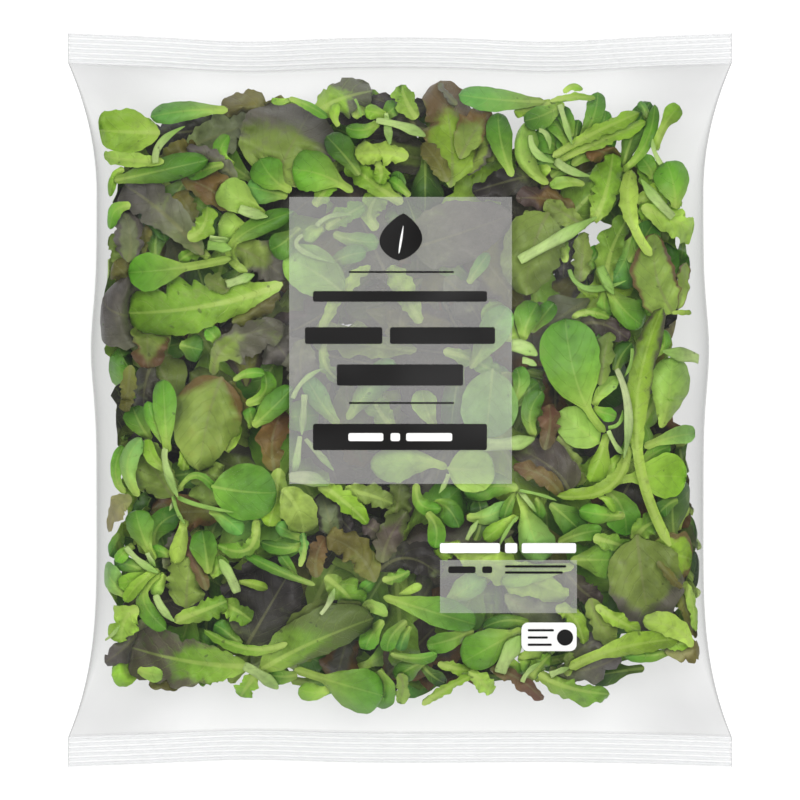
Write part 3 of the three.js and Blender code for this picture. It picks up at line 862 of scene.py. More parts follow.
    (0.1, "fresh", 57, -51.4, 65, -48.2, 73, -47, 2.8, 2.9, 0.06),
    (0.4, "fresh", 98.6, -90, 90, -92, 80.4, -91.2, 2.6, 1.8, 0.05),
    (0.3, "bright", 92, 16.6, 95, 20, 94.8, 25.4, 2.8, 2.2, 0.05),
    (0.2, "fresh", 75, 40.6, 80, 33.2, 87.6, 26.6, 5.6, 4.4, 0.08),
    (0.3, "fresh", 75, 40.6, 73.6, 35, 75.2, 29.6, 2.8, 2.7, 0.08),
    (0.3, "fresh", 96.5, 31, 90, 33.2, 83.6, 32.2, 2.8, 3.2, 0.06),
    (0.2, "fresh", 44.4, 21.6, 46, 28, 49.6, 35, 5.8, 3.6, 0.06),
    (0.5, "mid", 47, 24.6, 51.4, 30, 55.6, 35, 3.3, 3.2, 0.05),
    (0.4, "pale", 44, 21, 37, 26.6, 32.4, 35.6, 5.4, 5.2, 0.05),
    (0.4, "fresh", 63, 27.4, 70, 27.8, 77, 22.4, 1.8, 4.4, 0.05),
    (1.2, "deep", 78, 10.4, 79.5, 15.4, 83.6, 20.6, 3.4, 3.2, 0.05),
    (0.1, "mid", 48.6, -13, 46.8, -5, 51.4, 3.4, 3.6, 3.2, 0.06),
    (0.3, "fresh", 41, -0.4, 43, 6, 41.8, 11.6, 2.2, 3.8, 0.05),
    (0.3, "fresh", 88, -22.6, 92, -19, 97.6, -16.6, 3.2, 2.8, 0.05),
    (0.3, "bright", 91, -17, 94.6, -20, 97.4, -22.4, 1.8, 2.2, 0.05),
    (0.3, "fresh", 91.5, 79.6, 89.6, 84, 86.6, 87.6, 3.4, 3.2, 0.05),
    (0.2, "deep", 82.6, 49.6, 87.2, 57, 91.6, 64, 4.6, 4.9, 0.05),
    (0.3, "deep", 100, -35.6, 95.6, -38.4, 92.6, -42, 2.6, 3.0, 0.05),
    (0.0, "under", -27.6, 62.2, -31, 60.6, -34.4, 57.4, 2.6, 2.7, 0.05),
    (0.3, "fresh", -26, 48.6, -20, 51.6, -12, 53.4, 3.2, 3.1, 0.08),
    (0.3, "fresh", -24, 60, -16, 57.4, -7.4, 57, 3.2, 3.4, 0.08),
    (0.3, "pale", 12.6, -9.6, 9.4, -3, 8, 3.6, 4.6, 4.4, 0.06),
    (0.3, "cool", 24.6, 42, 27.8, 47, 32, 53, 2.4, 2.4, 0.08),
    (0.2, "coolPale", 25.4, 11.4, 32, 22.4, 38.6, 33.6, 5.4, 5.8, 0.05),
    (0.4, "cool", -19, -7, -11, 4, -2, 14.4, 4.8, 5, 0.05),
    (0.35, "cool", -22, -9, -28.4, -1, -34, 9, 3.6, 4, 0.05),
    (0.3, "coolPale", 24, -42, 32, -41.6, 40, -37, 3, 3.6, 0.05),
    (0.3, "fresh", -40.6, 4.6, -46, 0, -51, -6, 3, 3, 0.06),
    (0.1, "pale", 62.6, -60, 50, -62, 36.4, -66, 3.4, 3.2, 0.06),
    (0.4, "coolPale", 16, -74, 23, -68.4, 31, -64, 4.8, 4.4, 0.06),
    (0.2, "cool", -68.6, -39.6, -63, -42.6, -56.6, -48.4, 3.4, 3.2, 0.06),
    (0.0, "mid", -34, -52, -42, -53.2, -50.4, -51, 2.6, 1.9, 0.04),
    (0.3, "cool", -35.6, -50, -40, -47.4, -44.6, -45, 2.4, 2.5, 0.05),
    (0.0, "mid", -30.6, -66.6, -43, -61.8, -56.6, -55, 1.9, 1.8, 0.06),
    (0.1, "mid", -37.4, -64.4, -40, -60, -43.4, -55.6, 2, 2, 0.05),
    (0.1, "oliveLime", -58.4, -65.6, -53, -66.2, -47.6, -68, 1.7, 1.7, 0.05),
    (0.6, "deep", -57.4, -88.6, -62, -84, -67, -80.8, 3.4, 3.2, 0.05),
    (0.5, "deep", -1, 73.6, -0.6, 78, -3.6, 80.8, 2.7, 3, 0.05),
    (0.3, "bright", 3.6, 73.4, -0.4, 77, -4.4, 79.4, 2.0, 2.2, 0.05),
)}

greenLettuce = {"kinds": {"leaves": ("green", 23000), "plainLeaves": ("plain", 70000),
                          "toothedLeaves": ("toothed", 24000),
                          "wideLeaves": ("wide", 39000)}, "wideLeaves": (
    (0.1, "leafFresh", -54.6, -96, -75, -94.4, -96.6, -89.4, 10.4, 9.6, 0.03, "plum", 0.46, 1),
    (0.1, "limePale", 87, 69.6, 98, 65, 107.8, 60.4, 4.4, 6.4, 0.05),
), "toothedLeaves": (
    (0.1, "leafBright", -42.3, 42, -68, 34.2, -98, 31.4, 8.8, 11.6),
), "leaves": (
    (0.1, "oliveLime", -76.6, 58.6, -71.2, 62, -69.4, 69.8, 3.0, 3.9, 0.04),
    (0.2, "leafFresh", -69.4, 52, -74, 53.2, -79.6, 50, 2.6, 2.4, 0.05),
    (0.2, "leafBright", -30.6, 103, -22, 108.2, -10, 111.4, 7, 6.2, 0.04, "greyPurple", 0.42, 1),
    (0.5, "leafBright", -17, 102, -12, 106.8, -7.4, 110.4, 3.6, 2.6, 0.04),
    (0.1, "leafLime", 6, 101.4, 2.4, 107.4, 0.4, 113.6, 4.4, 3.4, 0.04),
    (0.0, "limePale", 3, 87.4, -6, 89.2, -16.4, 88.4, 4.8, 3.8, 0.05),
    (0.2, "leafBright", -9, 86.4, -6.8, 82.4, -7.6, 78, 2.8, 2.8, 0.2),
    (0.2, "leafBright", 1, 71, -9, 77.6, -19, 86, 4.2, 4.2, 0.2),
    (0.3, "leafFresh", -27, 62, -21.6, 65.4, -12.6, 70.4, 3.4, 3.4, 0.1),
    (0.3, "leafBright", -8, 61.6, -11, 68, -5.6, 76, 4, 4.6, 0.2),
    (0.3, "leafFresh", -31, 70, -28, 74, -24, 80, 3, 3, 0.1),
    (0.0, "leafLime", 55, 87.6, 68, 95.2, 86.4, 103.6, 2.4, 2.6, 0.3),
    (0.0, "leafBright", 56, 86, 70.4, 92.6, 88.6, 100.4, 2.2, 2.8, 0.3),
    (0.0, "leafBright", 69.6, 64.6, 74, 74.4, 76.8, 89, 5.8, 4.8, 0.05),
    (0.4, "leafBright", 98, 65, 92, 67, 85.6, 68.4, 3.4, 3.6, 0.05),
    (0.5, "leafFresh", 94.4, 71, 91.4, 79, 88, 88, 5, 4.8, 0.05),
    (0.4, "leafLime", 86, 70.4, 91, 73.4, 97, 71.8, 4, 4, 0.05),
    (0.5, "leafLime", 93.4, 67.6, 97.6, 70.2, 101.8, 71.2, 3, 3, 0.05),
    (0.1, "leafLime", 55, 107.4, 48, 104.8, 41, 104, 2.2, 3.2, 0.05),
    (0.4, "leafDull", 75, 39.6, 75.6, 52, 82.4, 66, 5.8, 3.4, 0.08),
    (0.3, "leafLime", 64, 41.4, 67.4, 39.2, 71.6, 37.4, 1.6, 1.6, 0.05),
    (0.3, "leafFresh", 62, 29.4, 68, 31.6, 75.6, 29.6, 1.7, 1.6, 0.05),
    (0.5, "oliveLime", -76, -14.6, -77.4, -20, -78, -25.6, 2.2, 2.2, 0.05),
    (0.0, "limePale", -94, -75.6, -99, -79, -100.6, -87.4, 5.4, 5.2, 0.05),
    (0.0, "leafFresh", -81.4, -79.6, -70, -75.4, -62.4, -72.4, 3.4, 4.4, 0.05),
    (0.0, "leafFresh", -66, -73.8, -60, -75.2, -53.4, -79.6, 3.6, 4.2, 0.05),
    (0.3, "leafFresh", -57.4, -96.6, -66, -99, -73, -101.6, 2.7, 2.4, 0.05),
    (0.2, "leafBright", -51.6, -98.6, -55, -103, -57.4, -107, 3.3, 3.4, 0.05),
    (0.0, "leafLime", -29.4, -30.4, -21, -35.8, -11.6, -44.6, 4.2, 2.6, 0.05),
    (0.3, "olive", -20, -32.6, -12, -34, -2.4, -37.4, 3.8, 3.8, 0.05),
    (0.0, "leafFresh", -52, -42.6, -54.6, -53.6, -66, -52.2, 2.4, 2.9, 0.05),
    (0.0, "cool", -36.2, -60, -34.4, -54, -35.2, -47.6, 1.7, 1.2, 0.05),
    (0.3, "leafFresh", -27, -63.6, -20.4, -69, -15.4, -75, 6.4, 5.4, 0.05),
    (0.0, "leafFresh", -6.4, -64.6, -2, -64, 3.6, -61.6, 1.9, 2.1, 0.05),
    (0.2, "limePale", 17, -52, 36, -60.4, 61, -70.6, 6.2, 6.4, 0.05),
    (0.4, "leafBright", 22, -52, 16, -55, 12, -61, 3, 3, 0.05),
    (0.0, "oliveLime", 8, -109.8, 15, -105, 25.4, -99.4, 1.8, 1.9, 0.05),
    (0.4, "limePale", 25, -97.6, 29.4, -101.6, 33.4, -105.6, 3.4, 2.8, 0.05),
    (0.4, "oliveLime", 13.6, -95, 20, -96.6, 27.4, -97.6, 2.2, 2.2, 0.05),
    (0.2, "leafFresh", 46, -101.4, 50, -96, 54.4, -91.6, 2.8, 2.7, 0.05),
    (0.0, "leafFresh", 50, -98.6, 61, -103.6, 75.6, -106, 2.6, 4.6, 0.05),
    (0.1, "leafLime", 56, -75.6, 62, -77.8, 66.4, -88, 3.4, 3.2, 0.05),
    (0.0, "leafLime", 70.6, -74, 78, -79, 86.8, -83.4, 2.6, 2.8, 0.05),
    (0.1, "leafFresh", 69.6, -49.6, 76, -51.2, 83, -53.6, 3.2, 3.4, 0.05),
    (0.3, "leafFresh", 84.6, -51, 88, -46, 93.6, -43.6, 4.4, 4.2, 0.05),
    (0.1, "limePale", 101.6, -66, 107, -74, 108.4, -83.4, 3.4, 3.2, 0.04),
    (0.3, "leafBright", 90, -86.8, 97, -87.4, 104.6, -88, 2.7, 2.6, 0.05),
    (0.3, "limePale", 7.4, 27.6, 2, 38, -3.4, 48.6, 4.2, 4.2, 0.1),
    (0.2, "limePale", -29, 21.6, -23, 36, -10.6, 48.4, 2.5, 2.6, 0.1),
    (0.3, "leafFresh", 15.6, 17.6, 26, 14.4, 36.6, 8.4, 3.4, 2.8, 0.06),
    (0.5, "leafFresh", -2, -11, -8, -3, -14, 8.6, 5, 4.6, 0.06),
    (0.5, "leafDull", -27, 20.6, -27, 13, -22, 7, 2.2, 2.2, 0.05),
    (0.4, "leafFresh", 59.6, 49.6, 58.8, 56, 57.6, 62.6, 2.4, 2.2, 0.05),
), "plainLeaves": (
    (0.2, "leafLime", -86.5, 96.5, -98, 96.6, -111.5, 97.4, 7.6, 8.2, 0.03),
    (0.0, "limePale", -85, 86, -97, 86.4, -109.4, 88.2, 2.4, 2.6, 0.06),
    (0.0, "leafLime", 54, 107.6, 62, 109.2, 70.6, 108.6, 1.2, 1.3, 0.1),
    (0.0, "limePale", 90.6, 52, 82.8, 67, 83.4, 83, 2.8, 3.4, 0.35),
    (0.0, "leafLime", 98, 31.4, 101.6, 31.5, 105.4, 31.2, 1.1, 0.9, 0.05),
    (0.0, "leafLime", 97.4, -52.6, 85, -11, 94.6, 33.4, 4.2, 4.4, 0.42, "purple", 0.1, 1),
    (0.0, "oliveLime", 82, -16, 75.4, -31.4, 56.4, -34.6, 0.9, 3.3, 0.1),
    (0.2, "leafLime", 72, -27.4, 76, -24, 79.8, -20, 2.2, 2.2, 0.05),
    (0.2, "oliveLime", -63.4, -18, -60, -13, -61, -5.6, 2.0, 2.4, 0.05),
    (0.0, "leafFresh", -40.6, -87.6, -55, -89.4, -70.6, -82.6, 2.4, 0.9, 0.1),
    (0.0, "leafFresh", -50.6, -97.6, -33, -88, -9.4, -78.6, 10.4, 5.6, 0.04, "oliveDark", 0.5, 1),
    (0.1, "oliveLight", -42.4, -32, -37, -39, -34.6, -48, 6.6, 6.4, 0.04),
    (0.4, "oliveLime", -43.6, -24.6, -45, -35, -47.4, -45.6, 4.6, 4.4, 0.04),
    (0.1, "leafFresh", -68.4, -63, -65.6, -60, -63, -56.6, 3.2, 3, 0.05),
    (0.1, "pale", -13, -76, -10, -74.2, -4.6, -78, 2.3, 2.2, 0.05),
    (0.3, "leafLime", 89.6, -54.4, 98, -55.6, 107, -57.6, 8.4, 9, 0.03, "redBrown", 0.2, 2),
    (0.0, "limePale", 106, -88.8, 98.4, -82, 87.4, -79.8, 3.6, 4.2, 0.12),
    (0.0, "leafLime", 61, -96.6, 78, -89.6, 100.6, -86, 4.2, 3.4, 0.36),
)}

redLettuce = {"kinds": {"leaves": ("red", 37000), "smoothLeaves": ("smooth", 38000),
                        "bluntLeaves": ("blunt", 39000)}, "bluntLeaves": (
    (0.2, "greyPurple", -71, 52.4, -85, 67, -99.6, 77.6, 7.2, 8.6),
), "smoothLeaves": (
    (0.4, "olive", -46, 78, -39, 92, -31, 106.6, 19.5, 16.5, 0.03, "greyPurple", 0.44, 1),
    (0.3, "greyPurple", -91, 30, -101, 31, -110.6, 36.6, 12.6, 15.6),
    (0.1, "oliveLight", -64, 8.4, -69, -6, -72.4, -25.6, 11.6, 12.6, 0.03, "brown", 0.22, 0),
    (0.2, "brown", -60, 68.6, -68.6, 76, -79, 79.8, 4.8, 7.2, 0.03, "brownOlive", 0.3, 1),
    (0.4, "darkPurple", -55, -88, -48, -76, -38.6, -60, 14.4, 11.6),
    (0.1, "olive", 85.4, -48.6, 87.4, -65, 90.4, -83.4, 14.6, 12.4, 0.06, "greyPurple", 0.3, 1),
    (0.2, "olive", 53.6, 67.6, 47.6, 53.6, 45.4, 37.6, 10.8, 11.4, 0.03),
    (0.5, "greyPurple", 4, 54.6, 20, 59.6, 41, 67, 12.4, 11),
    (0.2, "purple", 61, -33, 54, -24, 38.4, -15.6, 6.4, 8.2),
    (0.0, "oliveLight", 98.8, 31, 92.4, 44.6, 92, 60, 8.8, 6.6, 0.03, "redBrown", 0.16, 2),
), "leaves": (
    (0.9, "brownOlive", -36, 101, -50, 105.4, -64.6, 104.6, 5.6, 6.4, 0.03),
    (0.8, "greyOlive", -77.6, 90.6, -66, 95.4, -51, 101, 6.6, 7, 0.04),
    (1.6, "darkPurple", -61, 100, -75, 97, -90, 96, 6.4, 6.2, 0.03),
    (0.5, "brownOlive", -87, 84, -80, 88.6, -73, 90.6, 4.6, 4.2, 0.03),
    (0.3, "greyPurple", -59.4, 79, -66, 86, -77, 91, 2.6, 3.2, 0.03),
    (0.7, "brownOlive", -74.6, 64, -77, 70, -80.6, 75, 5.4, 3.6, 0.03),
    (0.3, "greyOlive", -98, 49.6, -97, 58, -99.4, 67.6, 6.4, 4.6, 0.03, "greyPurple", 0.4, 2),
    (0.4, "olive", -96.6, 49, -101, 53.4, -104.6, 60, 4.6, 4.4, 0.03),
    (0.8, "brownOlive", -93, 52, -93, 58, -90.6, 62.6, 2.7, 2.8, 0.03),
    (0.2, "olive", -60.6, 55.4, -50.6, 51, -41.4, 43.6, 7.4, 6.6, 0.03, "greyPurple", 0.5, 1),
    (0.4, "darkPurple", 5.4, 98.8, -1, 105, -10.6, 109.2, 4.2, 3.6, 0.03),
    (0.3, "oliveLime", 18, 76.6, 18.6, 93, 14.6, 115.2, 10.4, 9.4, 0.08, "redBrown", 0.38, 1),
    (0.2, "olive", 21.6, 87, 27, 97, 33, 104, 6.6, 4.6, 0.04, "brown", 0.45, 1),
    (0.5, "olive", 23.6, 81.6, 28, 90, 31.6, 99.6, 4.8, 5.4, 0.03, "greyPurple", 0.35, 2),
    (0.2, "brownOlive", 17, 78.6, 13.4, 86, 8, 92.6, 3.6, 3.2, 0.03),
    (0.2, "greyPurple", 20.6, 106.4, 17.4, 109.6, 13.8, 114.4, 1.4, 1.2, 0.03),
    (0.7, "darkPurple", 53, 82, 40, 79.2, 26, 75, 5.6, 4.4, 0.03),
    (0.2, "brown", 79.4, 86, 73, 89.4, 66.6, 90.4, 4.6, 3.2, 0.03),
    (0.4, "brown", 62.6, 67, 54, 72, 41.6, 72.6, 3.8, 4.4, 0.03, "purple", 0.35, 1),
    (0.2, "olive", 67, 62, 59.6, 67, 52, 71.4, 4.6, 3, 0.04),
    (0.4, "olive", 65, 42.6, 65.6, 51, 66.4, 60.6, 3.6, 3.4, 0.04),
    (1.3, "darkPurple", 64, 66, 60, 55, 59, 44, 4, 4, 0.03),
    (0.4, "oliveLight", 99.6, 33, 102, 41, 103.4, 49.6, 3.2, 2.6, 0.03, "redBrown", 0.12, 2),
    (0.2, "olive", -91, 34, -91, 22.6, -91, 11.4, 6.6, 6.6, 0.03, "redBrown", 0.32, 1),
    (0.3, "brownOlive", -96, 39.6, -99, 45, -103.6, 49.6, 4.6, 4.4, 0.03),
    (0.3, "brownOlive", -97, 12.6, -98, 4, -98.8, -4.4, 2.8, 2.9, 0.03),
    (1.8, "darkPurple", -89.6, 13, -92, 5, -92.4, -4, 4.8, 4.6, 0.03),
    (0.2, "oliveLight", -67, 9, -61.6, 20.6, -41.6, 26.6, 4.6, 8.6, 0.2, "greyPurple", 0.42, 1),
    (0.9, "greyPurple", -52, 29, -46, 22, -39.4, 13.4, 7.4, 6.6, 0.03),
    (0.9, "brownOlive", -60.6, 28, -52, 32.4, -43.4, 38.6, 3.6, 3.4, 0.03),
    (0.0, "oliveDark", -61.6, 39.6, -66, 42, -70.4, 44.4, 2.8, 3.2, 0.03),
    (0.4, "brown", -45, -26, -46, -14, -42, -3.4, 5.6, 5.4, 0.03),
    (0.3, "brownOlive", -61.4, 6.8, -59, 1, -54.6, -5.4, 2.4, 2.2, 0.03),
    (0.6, "olive", -70, -21, -69, -30, -68, -38.6, 8.4, 6.4, 0.03),
    (0.5, "olive", -82, -35, -88, -26, -94.6, -15, 8.4, 6.6, 0.03),
    (0.2, "tan", -96.6, -36.6, -102, -38.4, -106.6, -47.6, 3.8, 3.4, 0.03),
    (0.2, "oliveLight", -77, -75, -76.6, -66, -75, -56, 8.6, 7.4, 0.03),
    (0.1, "redBrown", -69.6, -68.6, -73.4, -58, -78.4, -48.4, 2.8, 2.2, 0.03),
    (0.5, "greyPurple", -84, -61, -81, -53, -76, -47.4, 3.6, 3.2, 0.03),
    (0.7, "darkPurple", -41, -61.6, -51, -62, -64, -70.6, 6.6, 5.4, 0.03),
    (0.3, "greyPurple", -91.6, -79, -98, -88, -107, -94.6, 4.2, 3.6, 0.03),
    (0.4, "brownOlive", -70, -100, -80, -101, -90.6, -102.6, 2.8, 2.7, 0.03),
    (0.2, "oliveDark", -40.6, -85, -30, -77, -11.4, -77.6, 4.6, 4.4, 0.03),
    (0.1, "brownOlive", -9, -65.6, -15.6, -55, -26.6, -49.4, 5.4, 5.6, 0.03),
    (0.4, "brown", -30, -64, -30, -56, -26.6, -49.4, 3.4, 3.2, 0.03),
    (0.0, "plum", -6.4, -58.6, -4, -50, 2.6, -40, 5, 4.2, 0.03, "oliveDark", 0.3, 1),
    (0.1, "plum", -6, -50, -9, -47, -13.6, -44.6, 3.2, 3, 0.03),
    (1.0, "oliveDark", -2, -47, -1, -38, 0.4, -29.4, 4.6, 4.4, 0.03),
    (0.3, "darkPurple", -7.6, -61.6, 3, -57, 14.6, -63.6, 7.4, 4.8, 0.03),
    (0.9, "greyOlive", -24, -49, -26, -41, -28.4, -33.4, 5.6, 5.2, 0.03, "darkPurple", 0.4, 2),
    (0.0, "brown", 58.4, -34.6, 51, -27, 40.6, -24.2, 3.4, 3.2, 0.03),
    (0.0, "redBrown", 52, -18, 54, -9, 53.6, -1.4, 3.7, 3.3, 0.03),
    (0.3, "olive", 57.6, -12.6, 61, -21, 65.8, -30.6, 3.3, 3.2, 0.03),
    (0.3, "purple", 64.6, 26.6, 73, 27.4, 82.6, 21.6, 3.6, 4.6, 0.03),
    (0.2, "olive", 72, 5.4, 73.4, 15, 75.8, 24.6, 3.5, 3.2, 0.03),
    (0.0, "brownOlive", 92.8, -58, 97, -63, 101.6, -68, 1.4, 1.7, 0.03),
    (0.3, "brownOlive", 101.4, -69.6, 104.4, -78, 109, -85.6, 2.8, 2.3, 0.03),
    (0.3, "tan", 95.6, -90, 104, -90.4, 111, -89, 3.4, 3.9, 0.03, "brownOlive", 0.5, 1),
    (0.2, "greyPurple", 56.6, -97, 68, -96.8, 79.6, -92, 3.9, 4.8, 0.03),
    (0.7, "greyPurple", 62.6, -92.6, 68, -88, 75, -84.6, 4.6, 4.4, 0.03),
    (0.0, "olive", 60, -99.4, 61, -95, 61, -90.6, 2.0, 1.9, 0.03),
    (0.3, "olive", 68.6, -71.4, 72, -80, 77.6, -87, 4.8, 4.4, 0.03),
    (0.0, "redBrown", 33, -96.6, 43, -100.6, 51.6, -108, 1.9, 3.2, 0.03),
    (0.4, "oliveLight", -0.4, -98.6, 1.2, -104, -1, -109, 2.7, 2.5, 0.03),
    (0.7, "purple", 60, -62, 66, -69, 73, -73, 4.4, 4.2, 0.03),
    (0.6, "greyOlive", 38, -70, 48, -76, 60, -78, 6, 5, 0.03),
    (0.8, "brownOlive", 2, 20, 0, 28, 3, 36, 6, 6, 0.03),
    (0.8, "greyPurple", 16, 44, 24, 36, 30, 26, 7, 7, 0.03),
    (0.8, "greyPurple", -34, 22, -36, 12, -33, 2, 6, 6, 0.03),
    (0.9, "brownOlive", 56.4, 75.6, 53.6, 79, 50.8, 83, 3.4, 3.2, 0.03),
    (0.9, "oliveDark", 30, 86, 33.4, 88.8, 37, 91, 2.6, 2.6, 0.03),
    (0.8, "darkPurple", -92.4, -69.6, -95.8, -72.6, -99, -75.4, 2.6, 2.6, 0.03),
    (0.6, "oliveDark", 54, -96.6, 57.8, -99.4, 61.4, -101.4, 2.4, 2.4, 0.03),
    (0.95, "darkPurple", -24.5, -39.5, -21, -43.4, -17.6, -47, 3.2, 3.2, 0.03),
)}

# Each stalk: layer, tone, foot X Y, middle X Y, tip X Y, half-width at its foot and at its tip
# They lie over the leaves of their layer, by a small share of one.
cutStalks = {"rows": 24, "columns": 9, "round": 0.55, "room": 1.3, "over": 0.01, "seed": 90000, "stalks": (
    (0.0, "stem", -88, 85.4, -86, 92.6, -77.4, 98.6, 1.4, 1.0),
    (0.0, "stemGreen", -69.4, 55.8, -65, 55.2, -60.6, 54.4, 1.9, 1.5),
    (0.1, "stem", -68.6, 58.4, -64.6, 57.8, -60, 57, 1.1, 0.9),
    (0.0, "stem", -58, 69, -53, 67.2, -47.6, 66, 1.9, 1.5),
    (0.0, "stem", -62.6, 41.7, -57, 43.5, -52.4, 45.2, 1.6, 1.4),
    (0.0, "stemGreen", -16.2, 108.4, -14.7, 105, -14, 101.8, 0.5, 0.5),
    (0.0, "stem", -8.6, 100.7, 1, 98.6, 9.2, 95, 1.0, 2.1),
    (0.0, "stem", -5, 103.4, -4.4, 98, -3.6, 92, 0.8, 1.7),
    (0.0, "stem", 43, 50.4, 56, 57.6, 71, 66, 2.0, 1.9),
    (0.0, "stem", 57.6, 106.4, 59.6, 99.4, 62, 92, 1.1, 0.9),
    (0.0, "stem", 47, 95.4, 49, 89.2, 55.4, 85.6, 1.0, 1.5),
    (0.0, "stem", 50, 97.2, 53, 95.2, 54, 90, 0.9, 0.9),
    (0.0, "stem", 56, 86.4, 61, 82.8, 68.4, 80.6, 1.5, 1.3),
    (0.0, "stem", 98.4, 65.8, 92, 72.6, 86.8, 79.6, 1.7, 1.5),
    (0.0, "stem", 94, 85, 91.6, 89.6, 91, 94, 0.9, 0.7),
    (0.0, "stemGreen", 72, 48.2, 74.6, 42.4, 77, 38, 1.8, 1.4),
    (0.0, "stemGreen", 61, 47, 67.6, 40.2, 81.4, 43, 0.9, 1.1),
    (0.0, "stem", 40, 19.8, 45, 18.8, 49.4, 16, 2.4, 2.2),
    (0.0, "stem", 44, 14.4, 46.4, 13.8, 49.2, 12.4, 1.2, 1.2),
    (0.0, "white", 78, 11.2, 82.2, -4, 80.6, -21, 1.2, 1.5),
    (0.0, "stem", 109.8, 14.6, 103.4, 16, 94.6, 17.6, 1.9, 2.3),
    (0.0, "stem", 75, -11, 78, -16.8, 80.6, -19.4, 0.9, 0.8),
    (0.0, "stemGreen", 75, -10, 79, -8.2, 80.2, -3.6, 0.7, 0.7),
    (0.0, "stem", -84.4, -17.4, -84.2, -24, -80, -35, 1.0, 1.7),
    (0.0, "stemGreen", -80, -35, -72, -38, -60, -40.4, 0.8, 0.8),
    (0.0, "stemGreen", -81.6, -34.6, -80.2, -40, -77.4, -44.6, 0.7, 0.7),
    (0.1, "white", -81.4, -36, -82.2, -38, -83, -40, 0.5, 0.5),
    (0.0, "stem", -98.6, -53, -93.6, -58.2, -87, -62.2, 1.0, 1.3),
    (0.0, "stem", -91, -55, -89.8, -57.6, -88, -60, 0.9, 0.9),
    (0.0, "stem", -107.4, -86.4, -103.6, -84.4, -101, -81, 0.5, 0.7),
    (0.0, "stem", -88, -70.2, -85.4, -75.4, -81.2, -79.8, 1.4, 1.2),
    (0.0, "stem", -56.2, -95.6, -50, -99.2, -43.8, -104, 1.5, 2.3),
    (0.0, "stem", -58.6, -69.4, -61.4, -63, -65, -57.4, 1.5, 2.1),
    (0.0, "white", -28.6, -77.2, -25.6, -73, -23.6, -67.8, 0.7, 1.2),
    (0.0, "stem", 17.4, -26.6, 16.2, -30, 14, -33.6, 0.9, 0.7),
    (0.0, "stem", 24, -50.4, 25.8, -47, 28.2, -43.4, 0.8, 1.0),
    (0.0, "stemGreen", 43, -32.6, 50, -34, 56.4, -36.2, 0.6, 0.6),
    (0.0, "stemGreen", 42.4, -42, 38.6, -47, 35.4, -53.4, 0.6, 0.6),
    (0.0, "stem", 43.4, -33, 46.6, -37, 49, -40.4, 0.9, 0.8),
    (0.0, "stem", 36, -98.4, 39, -91.6, 44, -85, 2.2, 3.0),
    (0.0, "stem", 44, -101.6, 46.4, -97.6, 50.6, -94.6, 0.9, 0.8),
    (0.0, "stem", 30, -16, 40, -15.7, 48.6, -13.8, 2.5, 2.2),
    (0.0, "white", -40, -28, -33, -28.2, -25.6, -30.6, 2.0, 2.6),
    (0.0, "stem", -38.6, 0.6, -34.6, 7, -27.6, 11.4, 0.9, 0.8),
    (0.0, "stem", -34.4, 2, -34.8, -5, -35.4, -12.6, 1.2, 1.1),
    (0.0, "stem", -36, -13, -37, -20, -38.2, -27.4, 1.0, 1.4),
    (0.0, "stem", -34, -14, -29, -19.6, -23.8, -25.4, 0.9, 1.2),
    (0.0, "stem", -30, 62.6, -25, 66.2, -17.4, 66.6, 0.9, 0.8),
    (0.0, "stem", -35, 59.4, -36.2, 54.4, -23.4, 49.4, 0.9, 0.9),
    (0.0, "stemGreen", 83.6, 18.6, 83, 13, 80.8, 8.4, 0.6, 0.6),
    (0.0, "stem", 54, -99, 57.4, -97.6, 61, -96.4, 1.3, 0.8),
)}

# What fills the gaps between those and the rest of the bag, in four zones that are laid in this order:
# under the shown leaves, against the lower film, between the two, and where the lower film is still bare
underShown, onLower, between, lowest = range(4)
filling = {
    # the filling's tones run darker than those of most shown leaves, partly as painted shade for leaves that
    # lie deeper
    "lambs": {"counts": (60, 62, 30, 0), "length": (20, 38), "half": (0.2, 0.28),  # counts for each zone
              "tones": ("deep", "mid", "darkGreen", "mid", "deep", "cool", "fresh")},
    "green": {"counts": (30, 34, 18, 90), "length": (28, 52), "half": (0.16, 0.24),
              "tones": ("leafFresh", "leafDull", "leafDull", "oliveLime", "olive")},
    "red": {"counts": (60, 36, 20, 30), "length": (28, 48), "half": (0.2, 0.3),
            "tones": ("oliveDark", "brownOlive", "darkPurple", "purple", "greyPurple", "oliveDark",
                      "darkPurple")},
    "lowestTones": ("oliveDark", "brownOlive", "darkPurple", "deep", "darkGreen"),
    "redBlush": ("darkPurple", "purple", "brown"), "redBlushShare": 0.6,
    "rows": 18, "columns": 7, "tries": 40, "shrink": 0.55, "bend": 0.09,
    # for each zone: how many bare cells draw leaves, and how often they do
    "bareCells": (12, 0, 12, 0), "bareShare": (0.75, 0.96, 0.75, 1.0), "bareWithin": 0.1,
    # how far in mm the leaves lie from their film, and how strong their relief is
    "sinks": (4.5, 13.0), "underSinks": (0.0, 6.0), "lowestSink": 1.0, "swings": (1.3, 1.2, 1.0, 0.6),
    # between the films: their level, the least room in mm, their relief and how far they swing and lean
    "levels": (0.15, 0.85), "insideLift": 1.5, "insideRoom": 1, "insideShort": 0.1,
    "insideRelief": 1.6, "insideSwing": 9.0, "insideLean": 0.7,
}


